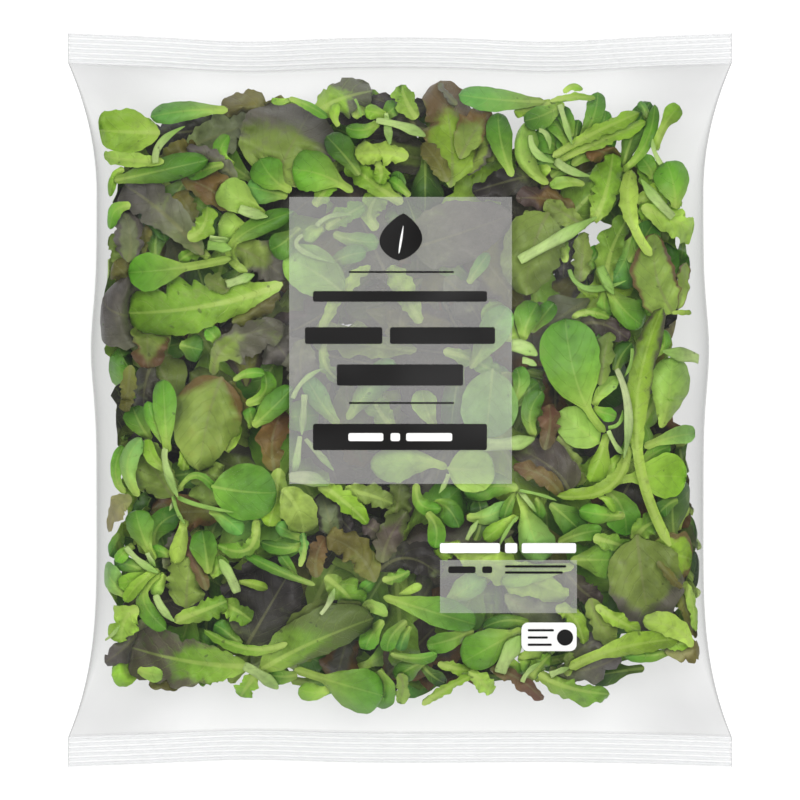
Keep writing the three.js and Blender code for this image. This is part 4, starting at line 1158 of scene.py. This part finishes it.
# half-widths along the blade: blade ** rise * (1 - blade) ** fall over its largest value, with lobes, torn
# straight runs, teeth and notches, joined to the stalk by the root of the two squares
def outline(t, kind, stalk, half, stalkHalf, chance, teeth, length):
    blade = clamp01((t - stalk) / (1 - stalk))
    a, b = kind["rise"], kind["fall"]
    peak = (a / (a + b)) ** a * (b / (a + b)) ** b
    shape = blade ** a * (1 - blade) ** b / peak
    phase = chance.uniform(0, 6.28, 3)
    lobes = kind["lobes"] * np.sin(2 * math.pi * kind["lobeCount"] * blade + phase[0])
    smallCount = kind["lobeCount"] * 2 + 1
    lobes = lobes + 0.5 * kind["lobes"] * np.sin(2 * math.pi * smallCount * blade + phase[1])
    count = kind["toothCount"] * chance.uniform(0.8, 1.25)
    warped = blade * count + 0.9 * np.sin(5.3 * blade + phase[2])
    tooth = (1 - warped % 1.0) ** 0.8
    sizes = np.maximum(0, chance.uniform(-0.6, 1.3, 64))[np.clip(warped.astype(int), 0, 63)]
    fade = smooth(blade / 0.15) * smooth((1 - blade) / 0.06)
    torn = kind["torn"] * np.interp(blade, np.linspace(0, 1, 10) ** 0.9, chance.uniform(-1, 1, 10))
    calm = min(1.0, 8.0 / half)
    shape = shape * (1 + fade * (calm * (lobes + torn) - teeth * 2 * sizes * tooth))
    for place in chance.uniform(0.3, 0.97, kind["notches"]):
        notch = calm * chance.uniform(0.2, 0.55) * np.maximum(0, 1 - np.abs(blade - place) / 0.05)
        shape = shape * (1 - notch)
    jag = 0.0
    for wave, share in ((8.6, 1.0), (5.1, 0.8), (3.3, 0.6)):
        even = t * length * chance.uniform(0.8, 1.2) / wave
        bent = even + 0.35 * np.sin(t * length / 6.5 + chance.uniform(0, 6))
        jag = jag + share * (0.64 - np.abs(np.sin(math.pi * bent + chance.uniform(0, 3))))
    shape = shape + kind["fray"] * fade * jag / half
    taper = stalkHalf * (1 - 0.55 * smooth(blade))
    end = (smooth((1 - t) / 0.05) * 0.97 + 0.03) * (0.3 + 0.7 * smooth(t / 0.05))
    return np.sqrt((taper * end) ** 2 + (half * shape) ** 2)


# at the shares t of a parabola through foot, middle and tip: its points and the unit vectors to its left,
# and its length
def bentSpine(foot, middle, tip, t):
    foot, middle, tip = (np.array(p, dtype=float) for p in (foot, middle, tip))
    control = 2 * middle - (foot + tip) / 2
    spine = (1 - t)[:, None] ** 2 * foot + (2 * t * (1 - t))[:, None] * control + t[:, None] ** 2 * tip
    ahead = 2 * (1 - t)[:, None] * (control - foot) + 2 * t[:, None] * (tip - control)
    ahead = ahead / np.maximum(np.linalg.norm(ahead, axis=1, keepdims=True), 1e-6)
    left = np.stack([-ahead[:, 1], ahead[:, 0]], -1)
    return spine, left, np.linalg.norm(np.diff(spine, axis=0), axis=1).sum()


# a leaf's plan: its spine, with the outline set off on both sides of it
def leafPlan(spec, stalk, kind, rows, columns, chance):
    step = np.linspace(0, 1, rows)
    t = 0.8 * step + 0.1 * (1 - np.cos(math.pi * step))
    spine, left, length = bentSpine(spec[2:4], spec[4:6], spec[6:8], t)
    leftHalf, rightHalf = spec[8:10]
    stalkHalf = min(kind["stalkHalf"], 0.5 * max(leftHalf, rightHalf))
    leftTeeth = kind["teeth"] * kind.get("leftTeeth", 1)
    halfLeft = outline(t, kind, stalk, leftHalf, stalkHalf, chance, leftTeeth, length)
    halfRight = outline(t, kind, stalk, rightHalf, stalkHalf, chance, kind["teeth"], length)
    u = np.linspace(-1, 1, columns)
    u = np.sign(u) * np.abs(u) ** 0.92
    half = np.where(u[None, :] > 0, halfLeft[:, None], halfRight[:, None])
    aside = u[None, :] * half
    plan = spine[:, None, :] + left[:, None, :] * aside[:, :, None]
    blade = clamp01((t - stalk) / (1 - stalk))
    return plan, aside, t, u, blade, length


# a leaf's own relief, in mm below its highest point: camber across, arch along, twist, ruffled edges
# that swing on their own on each side, and a soft crumple
def leafRelief(aside, t, u, blade, width, length, kind, chance):
    across, along = u[None, :], t[:, None]
    turned = chance.uniform(-1, 1, 6)
    phase = chance.uniform(0, 6.28, 6)
    bladeShare = smooth(blade / 0.3)[:, None]
    camber = kind["camber"] * width * (0.35 + 0.65 * abs(turned[0])) * (1 if turned[1] > -0.4 else -0.8)
    arch = kind["arch"] * min(length, 40) * 0.5 * (0.3 + 0.7 * abs(turned[2]))
    fold = 0.5 + 0.5 * abs(turned[5])
    bow = fold * np.abs(across) ** 2.2 + (1 - fold) * np.abs(across)
    relief = -camber * bow * bladeShare - arch * (2 * along - 1) ** 2
    relief = relief + 0.12 * width * turned[3] * across * (2 * along - 1) * bladeShare
    waves = kind["waves"] * chance.uniform(0.8, 1.3)
    edge = np.abs(across) ** 2.2
    sway = np.where(across > 0, np.sin(2 * math.pi * waves * along + phase[0]),
                    np.sin(2 * math.pi * waves * 0.9 * along + phase[1]))
    relief = relief + kind["ruffle"] * width * edge * sway * bladeShare
    a, b = aside, along * length
    crumple = np.sin(a / 1.7 + phase[2] + 0.25 * b) * np.sin(b / 2.3 + phase[3])
    crumple = crumple + 1.3 * np.sin(a / 3.1 - b / 4.2 + phase[4]) * np.sin(b / 6.1 + a / 5.0 + phase[5])
    relief = relief + kind["crumple"] * min(width, 14) * 0.6 * crumple * bladeShare
    tipDrop = 0.35 * width * max(0, turned[4]) * smooth((along - 0.6) / 0.4)
    relief = relief - tipDrop - 0.22 * kind["rib"] * np.exp(-((aside / 0.9) ** 2)) * bladeShare
    return relief - relief.max()


# how thick the leaf is: the blade, rounded off at its edge, and a rib that swells into the stalk
def leafThickness(aside, t, u, blade, kind):
    edge = np.sqrt(np.maximum(0, 1 - np.abs(u[None, :]) ** 6))
    ends = np.sqrt(np.maximum(0, 1 - np.abs(2 * t[:, None] - 1) ** 24))
    ribHalf = 0.5 + 0.9 * (1 - blade[:, None]) ** 1.5
    rib = kind["rib"] * (0.25 + 1.1 * (1 - blade[:, None]) ** 1.4) * np.exp(-((aside / ribHalf) ** 2))
    return (kind["thick"] + rib) * edge * ends


# both faces of a sheet: its draped surface, and the same set back along its normal by the thickness
def faces(plan, height, thickness):
    upper = np.concatenate([plan, height[:, :, None]], -1)
    alongRows = np.gradient(upper, axis=0)
    acrossColumns = np.gradient(upper, axis=1)
    normal = np.cross(alongRows, acrossColumns)
    normal = normal / np.maximum(np.linalg.norm(normal, axis=2, keepdims=True), 1e-9)
    normal = np.where(normal[:, :, 2:] < 0, -normal, normal)
    lower = upper - normal * thickness[:, :, None]
    return upper, lower


# keeps a plan inside the film: near the sides, reach * (1 - exp(-beyond / reach)) squeezes it together
def keepInside(plan):
    x, y = plan[:, :, 0], plan[:, :, 1]
    y = np.clip(y, -(bodyHalf - packing["endGap"] - 2), bodyHalf - packing["endGap"] - 2)
    reach = packing["sideSqueeze"]
    free = halfWidth(sectionAt(x, y)) - packing["sideGap"] - reach
    beyond = np.maximum(0, np.abs(x) - free)
    squeezed = np.sign(x) * (free + reach * (1 - np.exp(-beyond / reach)))
    return np.stack([np.where(beyond > 0, squeezed, x), y], -1)


# what has been laid so far, for each piece
batches = {name: {"points": [], "triangles": [], "tint": [], "blush": [], "place": [], "count": 0}
           for name in ("lambs", "green", "red", "stalks")}


# adds a sheet's points, triangles and values to its piece's batch
def addToBatch(name, upper, lower, tint, blush, place):
    rows, columns = upper.shape[:2]
    batch = batches[name]
    batch["points"].append(sheetPoints(upper, lower))
    batch["triangles"].append(sheetTriangles(rows, columns) + batch["count"])
    for key, grid in (("tint", tint), ("blush", blush), ("place", place)):
        batch[key].append(sheetPoints(grid, grid))
    batch["count"] += len(batch["points"][-1])


# the tint over the leaf: its tone, paler into the stalk, a little changed from leaf to leaf, growing lighter
# or darker along it, with painted shade where it dips and a painted highlight where it rises, and one half
# painted lighter and the other darker as if lit from one side; the blush grows towards the end or edges that
# it starts from, with the same painted shade and highlight
def leafColors(tone, blushTone, blushShare, start, t, u, blade, kind, relief, chance):
    shape = (len(t), len(u))
    red, green, blue = tones[tone]
    own = linear(tones[tone]) * chance.uniform(0.86, 1.12)
    blueLeft = 1 - 0.5 * smooth((green / max(red, blue) - 1) / 0.25)
    own = own * np.array([chance.uniform(0.88, 1.0), 1.0, blueLeft])
    toStalk = ((1 - blade) ** 2.0)[:, None, None] * kind["pale"] * min(1.0, own.sum() / 0.4)
    color = own * (1 - toStalk) + linear(stalkTint) * toStalk * (0.55 + 0.45 * own.sum())
    lean = chance.uniform(-1, 1, 3)
    half = np.sign(u) * smooth(np.abs(u) / 0.12)
    # painted light and shade: one half of the leaf lighter, the other darker, as if lit from one side
    paintedSideShade = (0.13 * lean[0] * half + 0.12 * lean[1] * u)[None, :, None]
    # with a tone that grows lighter or darker along the leaf
    sideShadeAndTone = 1 + paintedSideShade + 0.26 * lean[2] * (2 * t[:, None, None] - 1)
    # painted shade and highlight: darker where the leaf dips, lighter where it rises
    reliefShade = (relief - relief.mean()) / (np.ptp(relief) + 0.5)
    color = np.broadcast_to(color, (*shape, 3)) * sideShadeAndTone * (1 + 0.42 * reliefShade[:, :, None])
    strength = kind["ribTint"] * (1 - 0.75 * t[:, None]) * np.ones(shape)
    along, edge = t[:, None], np.abs(u)[None, :]
    reach = {0: 1 - along, 1: along, 2: 0.75 * edge + 0.25 * along}[start] + 0.34 * edge ** 1.5 - 0.1
    amount = smooth((reach - (1 - blushShare)) / 0.35 + 0.35) * (blushShare > 0) * np.ones(shape)
    # the blush takes the same painted shade and highlight
    blushColor = linear(tones[blushTone]) * (1 + 0.3 * reliefShade[:, :, None]) * np.ones((*shape, 3))
    return (np.concatenate([color, strength[:, :, None]], -1),
            np.concatenate([blushColor, amount[:, :, None]], -1))


# one leaf from its row of numbers, draped against the film on its side, or at a level between the films,
# and added to its kind's batch. A scattered leaf is left out where it passes the heap's outline, covers an
# open place or has no room.
def layLeaf(kindName, spec, rows, columns, chance, side=1, sink=0.0, level=None, swing=1.0, scattered=False,
            mustFit=True):
    kind = kinds[kindName]
    tone, width = spec[1], spec[8] + spec[9]
    stalk = spec[10] if len(spec) > 10 else kind["stalk"]
    blushTone, blushShare, start = spec[11:14] if len(spec) > 11 else ("olive", 0.0, 1)
    plan, aside, t, u, blade, length = leafPlan(spec, stalk, kind, rows, columns, chance)
    if not scattered:
        plan = np.stack(seenPlace(plan[:, :, 0], plan[:, :, 1]), -1)
    plan = keepInside(plan)
    relief = leafRelief(aside, t, u, blade, width, length, kind, chance) * swing
    thickness = leafThickness(aside, t, u, blade, kind)
    x, y = plan[:, :, 0], plan[:, :, 1]
    if scattered:
        inside, clear = insideHeap(x, y)
        if inside.mean() < packing["keepIn"] or not clear.all():
            return False
    if level is None:
        height = drape(x, y, relief, sink, kind["thick"] + 0.3, side, scattered and mustFit)
        if height is None:
            return False
    else:
        low, high = readMap(underNow, x, y) + filling["insideLift"], readMap(topNow, x, y)
        if (high - low < filling["insideRoom"]).mean() > filling["insideShort"]:
            return False
        tilt = chance.uniform(-1, 1) * filling["insideSwing"] * (2 * t[:, None] - 1)
        tilt = tilt + chance.uniform(-1, 1) * filling["insideSwing"] * filling["insideLean"] * u[None, :]
        height = low + (high - low) * level + relief * filling["insideRelief"] + tilt
        height = np.clip(height, np.minimum(low, high), high)
    upper, lower = faces(plan, height, thickness)
    tint, blush = leafColors(tone, blushTone, blushShare, start, t, u, blade, kind, relief, chance)
    place = np.stack([0.5 + aside / 100, np.broadcast_to(t[:, None] * length / 100, aside.shape)], -1)
    addToBatch(kind["batch"], upper, lower, tint, blush, place)
    return True


# one cut stalk: a bent bar whose section is a flattened oval with a shallow groove, cut square at its
# foot and drawn out thin where it runs into its leaf, with painted shade towards its sides and in its groove
def layStalk(spec, chance, sink):
    tone, footHalf, tipHalf = spec[1], spec[8], spec[9]
    rows, columns = cutStalks["rows"], cutStalks["columns"]
    t = 0.6 * np.linspace(0, 1, rows) + 0.2 * (1 - np.cos(np.linspace(0, math.pi, rows)))
    u = np.sin(np.linspace(-1, 1, columns) * math.pi / 2)
    spine, left, length = bentSpine(spec[2:4], spec[4:6], spec[6:8], t)
    half = footHalf + (tipHalf - footHalf) * t
    half = half * (1 + 0.1 * np.sin(7 * t + chance.uniform(0, 6)) + 0.16 * bell(t - 0.7, 0.2))
    half = half * (0.8 + 0.2 * smooth(t / 0.05)) * (0.1 + 0.9 * clamp01((1 - t) / 0.34) ** 0.6)
    aside = u[None, :] * half[:, None]
    plan = spine[:, None, :] + left[:, None, :] * aside[:, :, None]
    plan = keepInside(np.stack(seenPlace(plan[:, :, 0], plan[:, :, 1]), -1))
    bow = np.sqrt(np.maximum(0, 1 - u[None, :] ** 2)) * half[:, None] * cutStalks["round"]
    bow = bow * (1 - 0.25 * bell(u, 0.3)[None, :])
    bow = bow * np.where((t == 0) | (t == 1), 0.0, 1.0)[:, None]
    x, y = plan[:, :, 0], plan[:, :, 1]
    relief = -0.03 * length * (2 * t[:, None] - 1) ** 2 + bow * 0.8
    relief = relief - relief.max()
    height = drape(x, y, relief, sink, cutStalks["room"], 1)
    upper = np.concatenate([plan, height[:, :, None]], -1)
    lower = upper.copy()
    lower[:, :, 2] = lower[:, :, 2] - bow * 1.5
    shape = upper.shape[:2]
    own = linear(tones[tone]) * chance.uniform(0.95, 1.05)
    # painted shade: darker towards the stalk's sides and in its groove
    shade = 1.02 - (0.2 * u ** 2 + 0.12 * bell(u, 0.25))[None, :, None] * np.ones((*shape, 1))
    greener = smooth((t - 0.3) / 0.6)[:, None, None] * chance.uniform(0.5, 1.0) * np.ones((*shape, 1))
    own = own * (1 - greener) + linear(tones["stemGreen"]) * greener
    tint = np.concatenate([own * shade, np.full((*shape, 1), 0.05)], -1)
    blush = np.concatenate([np.ones((*shape, 3)) * linear(tones["stemGreen"]), np.zeros((*shape, 1))], -1)
    place = np.stack([0.5 + aside / 100 + 0.1, np.broadcast_to(t[:, None] * length / 100, aside.shape)], -1)
    addToBatch("stalks", upper, lower, tint, blush, place)


# a leaf's rows and columns: a row for each mm of its length and some more, two columns for each
# columnWidth of its width and some more, between the least and what its kind has
def gridSize(kind, spec):
    length = math.dist(spec[2:4], spec[4:6]) + math.dist(spec[4:6], spec[6:8])
    pairs = int((spec[8] + spec[9]) / packing["columnWidth"])
    rows = max(packing["leastRows"], min(kind["rows"], int(length) + packing["spareRows"]))
    columns = max(packing["leastColumns"], min(kind["columns"], 2 * pairs + packing["spareColumns"]))
    return rows, columns


# lays the leaves that the photograph shows, topmost first
def layShownLeaves():
    order = []
    for piece in (lambsLettuce, greenLettuce, redLettuce):
        for group, (kindName, seed) in piece["kinds"].items():
            for number, spec in enumerate(piece[group]):
                order.append((spec[0], number / 1000, kindName, spec, seed + number))
    for number, spec in enumerate(cutStalks["stalks"]):
        layer, seed = spec[0] - cutStalks["over"], cutStalks["seed"] + number
        order.append((layer, number / 1000, "stalks", spec, seed))
    order.sort(key=lambda item: (item[0], item[1]))
    for layer, _, kindName, spec, seed in order:
        chance = np.random.default_rng(seed)
        sink = layer * packing["sink"]
        if kindName == "stalks":
            layStalk(spec, chance, sink)
        else:
            layLeaf(kindName, spec, *gridSize(kinds[kindName], spec), chance, sink=sink)
    print("shown leaves laid:", len(order))


# the cells that a zone's leaves are drawn to
def wantedCells(zone):
    noneAbove = topNow > ceiling - filling["bareWithin"]
    noneBelow = underNow < ground + filling["bareWithin"]
    if zone == underShown:
        return heapCells & noneAbove
    if zone == onLower:
        return heapCells & noneBelow & noneAbove
    return sideCells if zone == between else innerCells & noneBelow


# a leaf at a random turn: foot and tip either side of its place, middle bent aside. Its place is one that
# its zone wants covered, while there are such, or any in the heap. Its size is a share of the usual.
def randomSpec(kindName, group, chance, zone, share):
    bare = wantedCells(zone)
    wanted = bare.sum() > filling["bareCells"][zone] and chance.uniform() < filling["bareShare"][zone]
    cells = np.flatnonzero(bare if wanted else heapCells)
    cell = cells[int(chance.integers(len(cells)))]
    x, y = meshX.ravel()[cell], meshY.ravel()[cell]
    length = chance.uniform(*group["length"]) * share
    turn = chance.uniform(0, 2 * math.pi)
    dx, dy = math.cos(turn) * length / 2, math.sin(turn) * length / 2
    bend = chance.normal(0, filling["bend"]) * length
    half = length * chance.uniform(*group["half"])
    toneChoice = filling["lowestTones"] if zone == lowest else group["tones"]
    tone = toneChoice[int(chance.integers(len(toneChoice)))]
    spec = (0, tone, x - dx, y - dy, x - bend * dy / length, y + bend * dx / length, x + dx, y + dy,
            half * chance.uniform(0.8, 1.1), half * chance.uniform(0.8, 1.1), kinds[kindName]["stalk"])
    if kindName == "red" and chance.uniform() < filling["redBlushShare"]:
        spec = spec + (filling["redBlush"][int(chance.integers(3))], chance.uniform(0.2, 0.6),
                       int(chance.integers(1, 3)))
    return spec


# lays a random leaf in its zone, and says whether it found room
def layRandom(kindName, zone, share, chance):
    spec = randomSpec(kindName, filling[kindName], chance, zone, share)
    rows, columns, swing = filling["rows"], filling["columns"], filling["swings"][zone]
    side, sink, level = 1, 0.0, None
    if zone == underShown:
        sink = chance.uniform(*filling["sinks"])
    elif zone == onLower:
        side, sink = -1, chance.uniform(*filling["underSinks"])
    elif zone == between:
        level = chance.uniform(*filling["levels"])
    else:
        side, sink = -1, filling["lowestSink"]
    return layLeaf(kindName, spec, rows, columns, chance, side, sink, level, swing, True, zone != lowest)


# scatters the filling zone by zone, with up to a few dozen tries for each leaf, ever smaller
def layFilling():
    chance = np.random.default_rng(packing["seed"])
    plans = []
    for kindName in ("lambs", "green", "red"):
        for zone, count in enumerate(filling[kindName]["counts"]):
            plans += [(zone, chance.uniform(), kindName) for _ in range(count)]
    plans.sort()
    laid = 0
    bareBefore = wantedCells(underShown).sum()
    for zone, _, kindName in plans:
        for attempt in range(filling["tries"]):
            if layRandom(kindName, zone, 1 - filling["shrink"] * attempt / filling["tries"], chance):
                laid += 1
                break
    bareAfter = wantedCells(underShown).sum()
    print("filling laid:", laid, "of", len(plans), "bare cells from", bareBefore, "to", bareAfter)


# makes one piece of all the leaves in a batch
def finishBatch(name):
    skin = leafSkins[name]
    batch = {key: np.concatenate(values) for key, values in batches[name].items() if key != "count"}
    colors = {"leafTint": batch["tint"], "leafBlush": batch["blush"]}
    piece = makePiece(skin["piece"], batch["points"], batch["triangles"], makeLeafMaterial(skin), colors,
                      batch["place"], skin["sharpAngle"])


# Print

printLook = {
    "grey": (220, 219, 217), "greyAlpha": 0.168, "black": (16, 15, 15), "white": (246, 246, 244),
    "greyRough": 0.5, "blackRough": 0.42, "whiteRough": 0.45, "shine": 0.15,
    "lift": 0.12, "thick": 0.05, "step": 0.14,  # mm: over the film, of the ink, from layer to layer
    "cell": 1.8, "corner": 0.7,  # mm: the grids' cells, and the bars' round corners
    "flatLeast": 5, "roundLeast": 7, "roundRows": 15,  # rows and columns of a field and of a bar
    "discRows": 17, "discColumns": 11, "leafRows": 25, "leafColumns": 15,
    "sharpAngle": 40,
    # the grey fields, the bars and the badge: X from, X to, Y from, Y to
    "panels": ((-39.9, 40.3, -30.2, 73.1), (14.4, 63.7, -76.7, -57.6)),
    "blackBars": (
        (-18.4, 19.4, 45.75, 46.4), (-18.4, 19.4, -1.4, -0.75),
        (-31.3, 31.3, 35.4, 39.2),
        (-34.2, -6.4, 20.2, 26.2), (-3.6, 34.2, 20.2, 26.2),
        (-22.7, 22.7, 5.2, 12.8),
        (-31.3, 31.3, -18.0, -8.6),
        (17.4, 27.2, -62.3, -59.9), (29.6, 33.2, -62.3, -59.9),
        (37.8, 59.8, -60.3, -59.5), (37.8, 58.6, -62.5, -61.7),
    ),
    "badgeBars": ((46.0, 55.4, -83.3, -82.5), (46.0, 53.2, -85.9, -85.1), (46.0, 54.6, -88.5, -87.7)),
    "whiteBars": (
        (-18.6, -6.0, -14.8, -11.9), (-3.4, 0.0, -14.8, -11.9), (2.2, 18.8, -14.8, -11.9),
        (14.4, 36.0, -55.1, -51.5), (37.8, 42.2, -55.1, -51.5), (43.8, 63.4, -55.1, -51.5),
    ),
    "badge": (43.7, 63.6, -90.4, -80.1), "badgeCorner": 2.4,
    "emblem": (0.4, 50.2, 67.2, 7.6),  # a plain leaf: X, its foot's Y, its tip's Y, half-width
    "emblemRib": (0.4, 52.7, 62.7, 0.35),  # the white rib in it, in the same order
    "emblemLean": 1.6, "emblemLow": 0.85, "emblemFull": 0.8,  # mm to one side, and its outline's powers
    "badgeDot": (59.4, -85.5, 2.9),  # X, Y, radius
    "leastHalf": 0.05, "leastDisc": 0.02,  # mm of half-width left at a tip and at a disc's edge
}


# a thin closed slab that follows the film, from grids of X and Y
def slab(x, y, lift):
    x, y = seenPlace(x, y)
    base = upperHeight(x, sectionAt(x, y)) + lift
    upper = np.stack([x, y, base + printLook["thick"]], -1)
    lower = np.stack([x, y, base], -1)
    return sheetPoints(upper, lower), sheetTriangles(*x.shape)


# a rectangle's grid, in cells of about the same size
def barGrid(x0, x1, y0, y1):
    columns = max(printLook["flatLeast"], int((x1 - x0) / printLook["cell"]) + 2)
    rows = max(printLook["flatLeast"], int((y1 - y0) / printLook["cell"]) + 2)
    x, y = np.meshgrid(np.linspace(x0, x1, columns), np.linspace(y0, y1, rows))
    return x.T[::-1], y.T[::-1]


# a rectangle with round corners: near each end the rows shorten by the corner's circle
def roundGrid(x0, x1, y0, y1, corner):
    corner = min(corner, (y1 - y0) * 0.45)
    a = np.sin(np.linspace(-1, 1, printLook["roundRows"]) * math.pi / 2)
    y = (y0 + y1) / 2 + (y1 - y0) / 2 * a
    intoCorner = np.maximum(0, np.abs(y - (y0 + y1) / 2) - ((y1 - y0) / 2 - corner))
    inset = corner - np.sqrt(np.maximum(0, corner ** 2 - intoCorner ** 2))
    half = (x1 - x0) / 2 - inset
    u = np.linspace(-1, 1, max(printLook["roundLeast"], int((x1 - x0) / printLook["cell"]) + 2))
    x = (x0 + x1) / 2 + half[:, None] * u[None, :]
    return x[:, ::-1], np.broadcast_to(y[:, None], x.shape).copy()


# a disc, as rows that shorten by its circle
def discGrid(cx, cy, radius):
    a = np.linspace(-1, 1, printLook["discRows"]) * math.pi / 2
    half = radius * np.cos(a) + printLook["leastDisc"]
    u = np.linspace(1, -1, printLook["discColumns"])
    x = cx + half[:, None] * u[None, :]
    return x, np.broadcast_to((cy + radius * np.sin(a))[:, None], x.shape).copy()


# a plain pointed leaf upright: half-width * sin(pi t ** emblemLow) ** emblemFull, leaning to one side
def emblemGrid(cx, y0, y1, half):
    t = np.linspace(0, 1, printLook["leafRows"])
    swell = np.sin(math.pi * t ** printLook["emblemLow"]) ** printLook["emblemFull"]
    width = half * swell + printLook["leastHalf"]
    u = np.linspace(1, -1, printLook["leafColumns"])
    x = cx + printLook["emblemLean"] * (t - 0.5)[:, None] + width[:, None] * u[None, :]
    return x, np.broadcast_to((y0 + (y1 - y0) * t)[:, None], x.shape).copy()


# makes one piece of slabs, each from its grids of X and Y and its lift
def makePrintPiece(name, grids, material):
    points, triangles, count = [], [], 0
    for x, y, lift in grids:
        p, f = slab(x, y, lift)
        points.append(p)
        triangles.append(f + count)
        count += len(p)
    piece = makePiece(name, np.concatenate(points), np.concatenate(triangles), material,
                      sharpAngle=printLook["sharpAngle"])


# the grey fields lie on the film, the black shapes over them and the white ones on top
def makePrint():
    lift, step, corner = printLook["lift"], printLook["step"], printLook["corner"]
    grey = makeInk("print_grey", printLook["grey"], printLook["greyAlpha"], printLook["greyRough"])
    black = makeInk("print_black", printLook["black"], 1.0, printLook["blackRough"])
    white = makeInk("print_white", printLook["white"], 1.0, printLook["whiteRough"])
    greyGrids = [(*barGrid(*bar), lift) for bar in printLook["panels"]]
    makePrintPiece("print_grey_panels", greyGrids, grey)
    blackGrids = [(*roundGrid(*bar, corner), lift + step) for bar in printLook["blackBars"]]
    blackGrids += [(*roundGrid(*bar, corner), lift + 2 * step) for bar in printLook["badgeBars"]]
    blackGrids.append((*discGrid(*printLook["badgeDot"]), lift + 2 * step))
    blackGrids.append((*emblemGrid(*printLook["emblem"]), lift + step))
    makePrintPiece("print_black_shapes", blackGrids, black)
    whiteGrids = [(*roundGrid(*bar, corner), lift + 2 * step) for bar in printLook["whiteBars"]]
    whiteGrids.append((*roundGrid(*printLook["badge"], printLook["badgeCorner"]), lift + step))
    whiteGrids.append((*emblemGrid(*printLook["emblemRib"]), lift + 2 * step))
    makePrintPiece("print_white_shapes", whiteGrids, white)


makeFilm(makeFilmMaterial())
layShownLeaves()
layFilling()
for batchName in batches:
    finishBatch(batchName)
makePrint()


# a plain pale floor, a white world and soft square lamps that face the bag
def makeStage():
    mesh = bpy.data.meshes.new("floor")
    half, z = stage["floorHalf"], stage["floorHeight"]
    corners = [(-half, -half, z), (half, -half, z), (half, half, z), (-half, half, z)]
    mesh.from_pydata(corners, [], [(0, 1, 2, 3)])
    material, _, shader = newMaterial("floor")
    shader.inputs["Base Color"].default_value = solidColor(stage["floorColor"])
    shader.inputs["Roughness"].default_value = stage["floorRough"]
    shader.inputs["Specular IOR Level"].default_value = stage["floorShine"]
    shader.inputs["Emission Color"].default_value = solidColor(stage["glowColor"])
    shader.inputs["Emission Strength"].default_value = stage["floorGlow"]
    mesh.materials.append(material)
    floor = bpy.data.objects.new("floor", mesh)
    bpy.context.scene.collection.objects.link(floor)
    floor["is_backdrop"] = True
    world = bpy.data.worlds.new("studio")
    world.use_nodes = True
    background = world.node_tree.nodes["Background"]
    background.inputs["Color"].default_value = solidColor(stage["worldColor"])
    background.inputs["Strength"].default_value = stage["worldStrength"]
    bpy.context.scene.world = world
    for number, (place, size, power) in enumerate(stage["lamps"]):
        lamp = bpy.data.lights.new("softbox_%d" % number, "AREA")
        lamp.shape = "SQUARE"
        lamp.size = size
        lamp.energy = power
        box = bpy.data.objects.new("softbox_%d" % number, lamp)
        box.location = place
        direction = np.array(place) / np.linalg.norm(place)
        around = math.atan2(direction[1], direction[0]) + math.pi / 2
        box.rotation_euler = (math.acos(direction[2]), 0, around)
        bpy.context.scene.collection.objects.link(box)
        box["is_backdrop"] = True


# a camera straight above the bag, with shownWidth across the picture at the seals' height
def makeCamera():
    camera = bpy.data.cameras.new("camera")
    camera.sensor_width = stage["sensorWidth"]
    distance = stage["cameraHeight"] - bag["sealHeight"] * mm
    camera.lens = stage["sensorWidth"] * distance / stage["shownWidth"]
    camera.clip_start = stage["clipStart"]
    camera.clip_end = stage["clipEnd"]
    holder = bpy.data.objects.new("camera", camera)
    holder.location = (0, 0, stage["cameraHeight"])
    bpy.context.scene.collection.objects.link(holder)
    bpy.context.scene.camera = holder


makeStage()
makeCamera()
bpy.context.scene.view_settings.view_transform = "Standard"
print("floor, light and camera set")

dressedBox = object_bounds()


# nested plain lists of numbers
def plainList(values):
    if hasattr(values, "__len__") and not isinstance(values, str):
        return [plainList(v) for v in values]
    return float(values)


{"cad": plainList(cadBox), "dressed": plainList(dressedBox)}
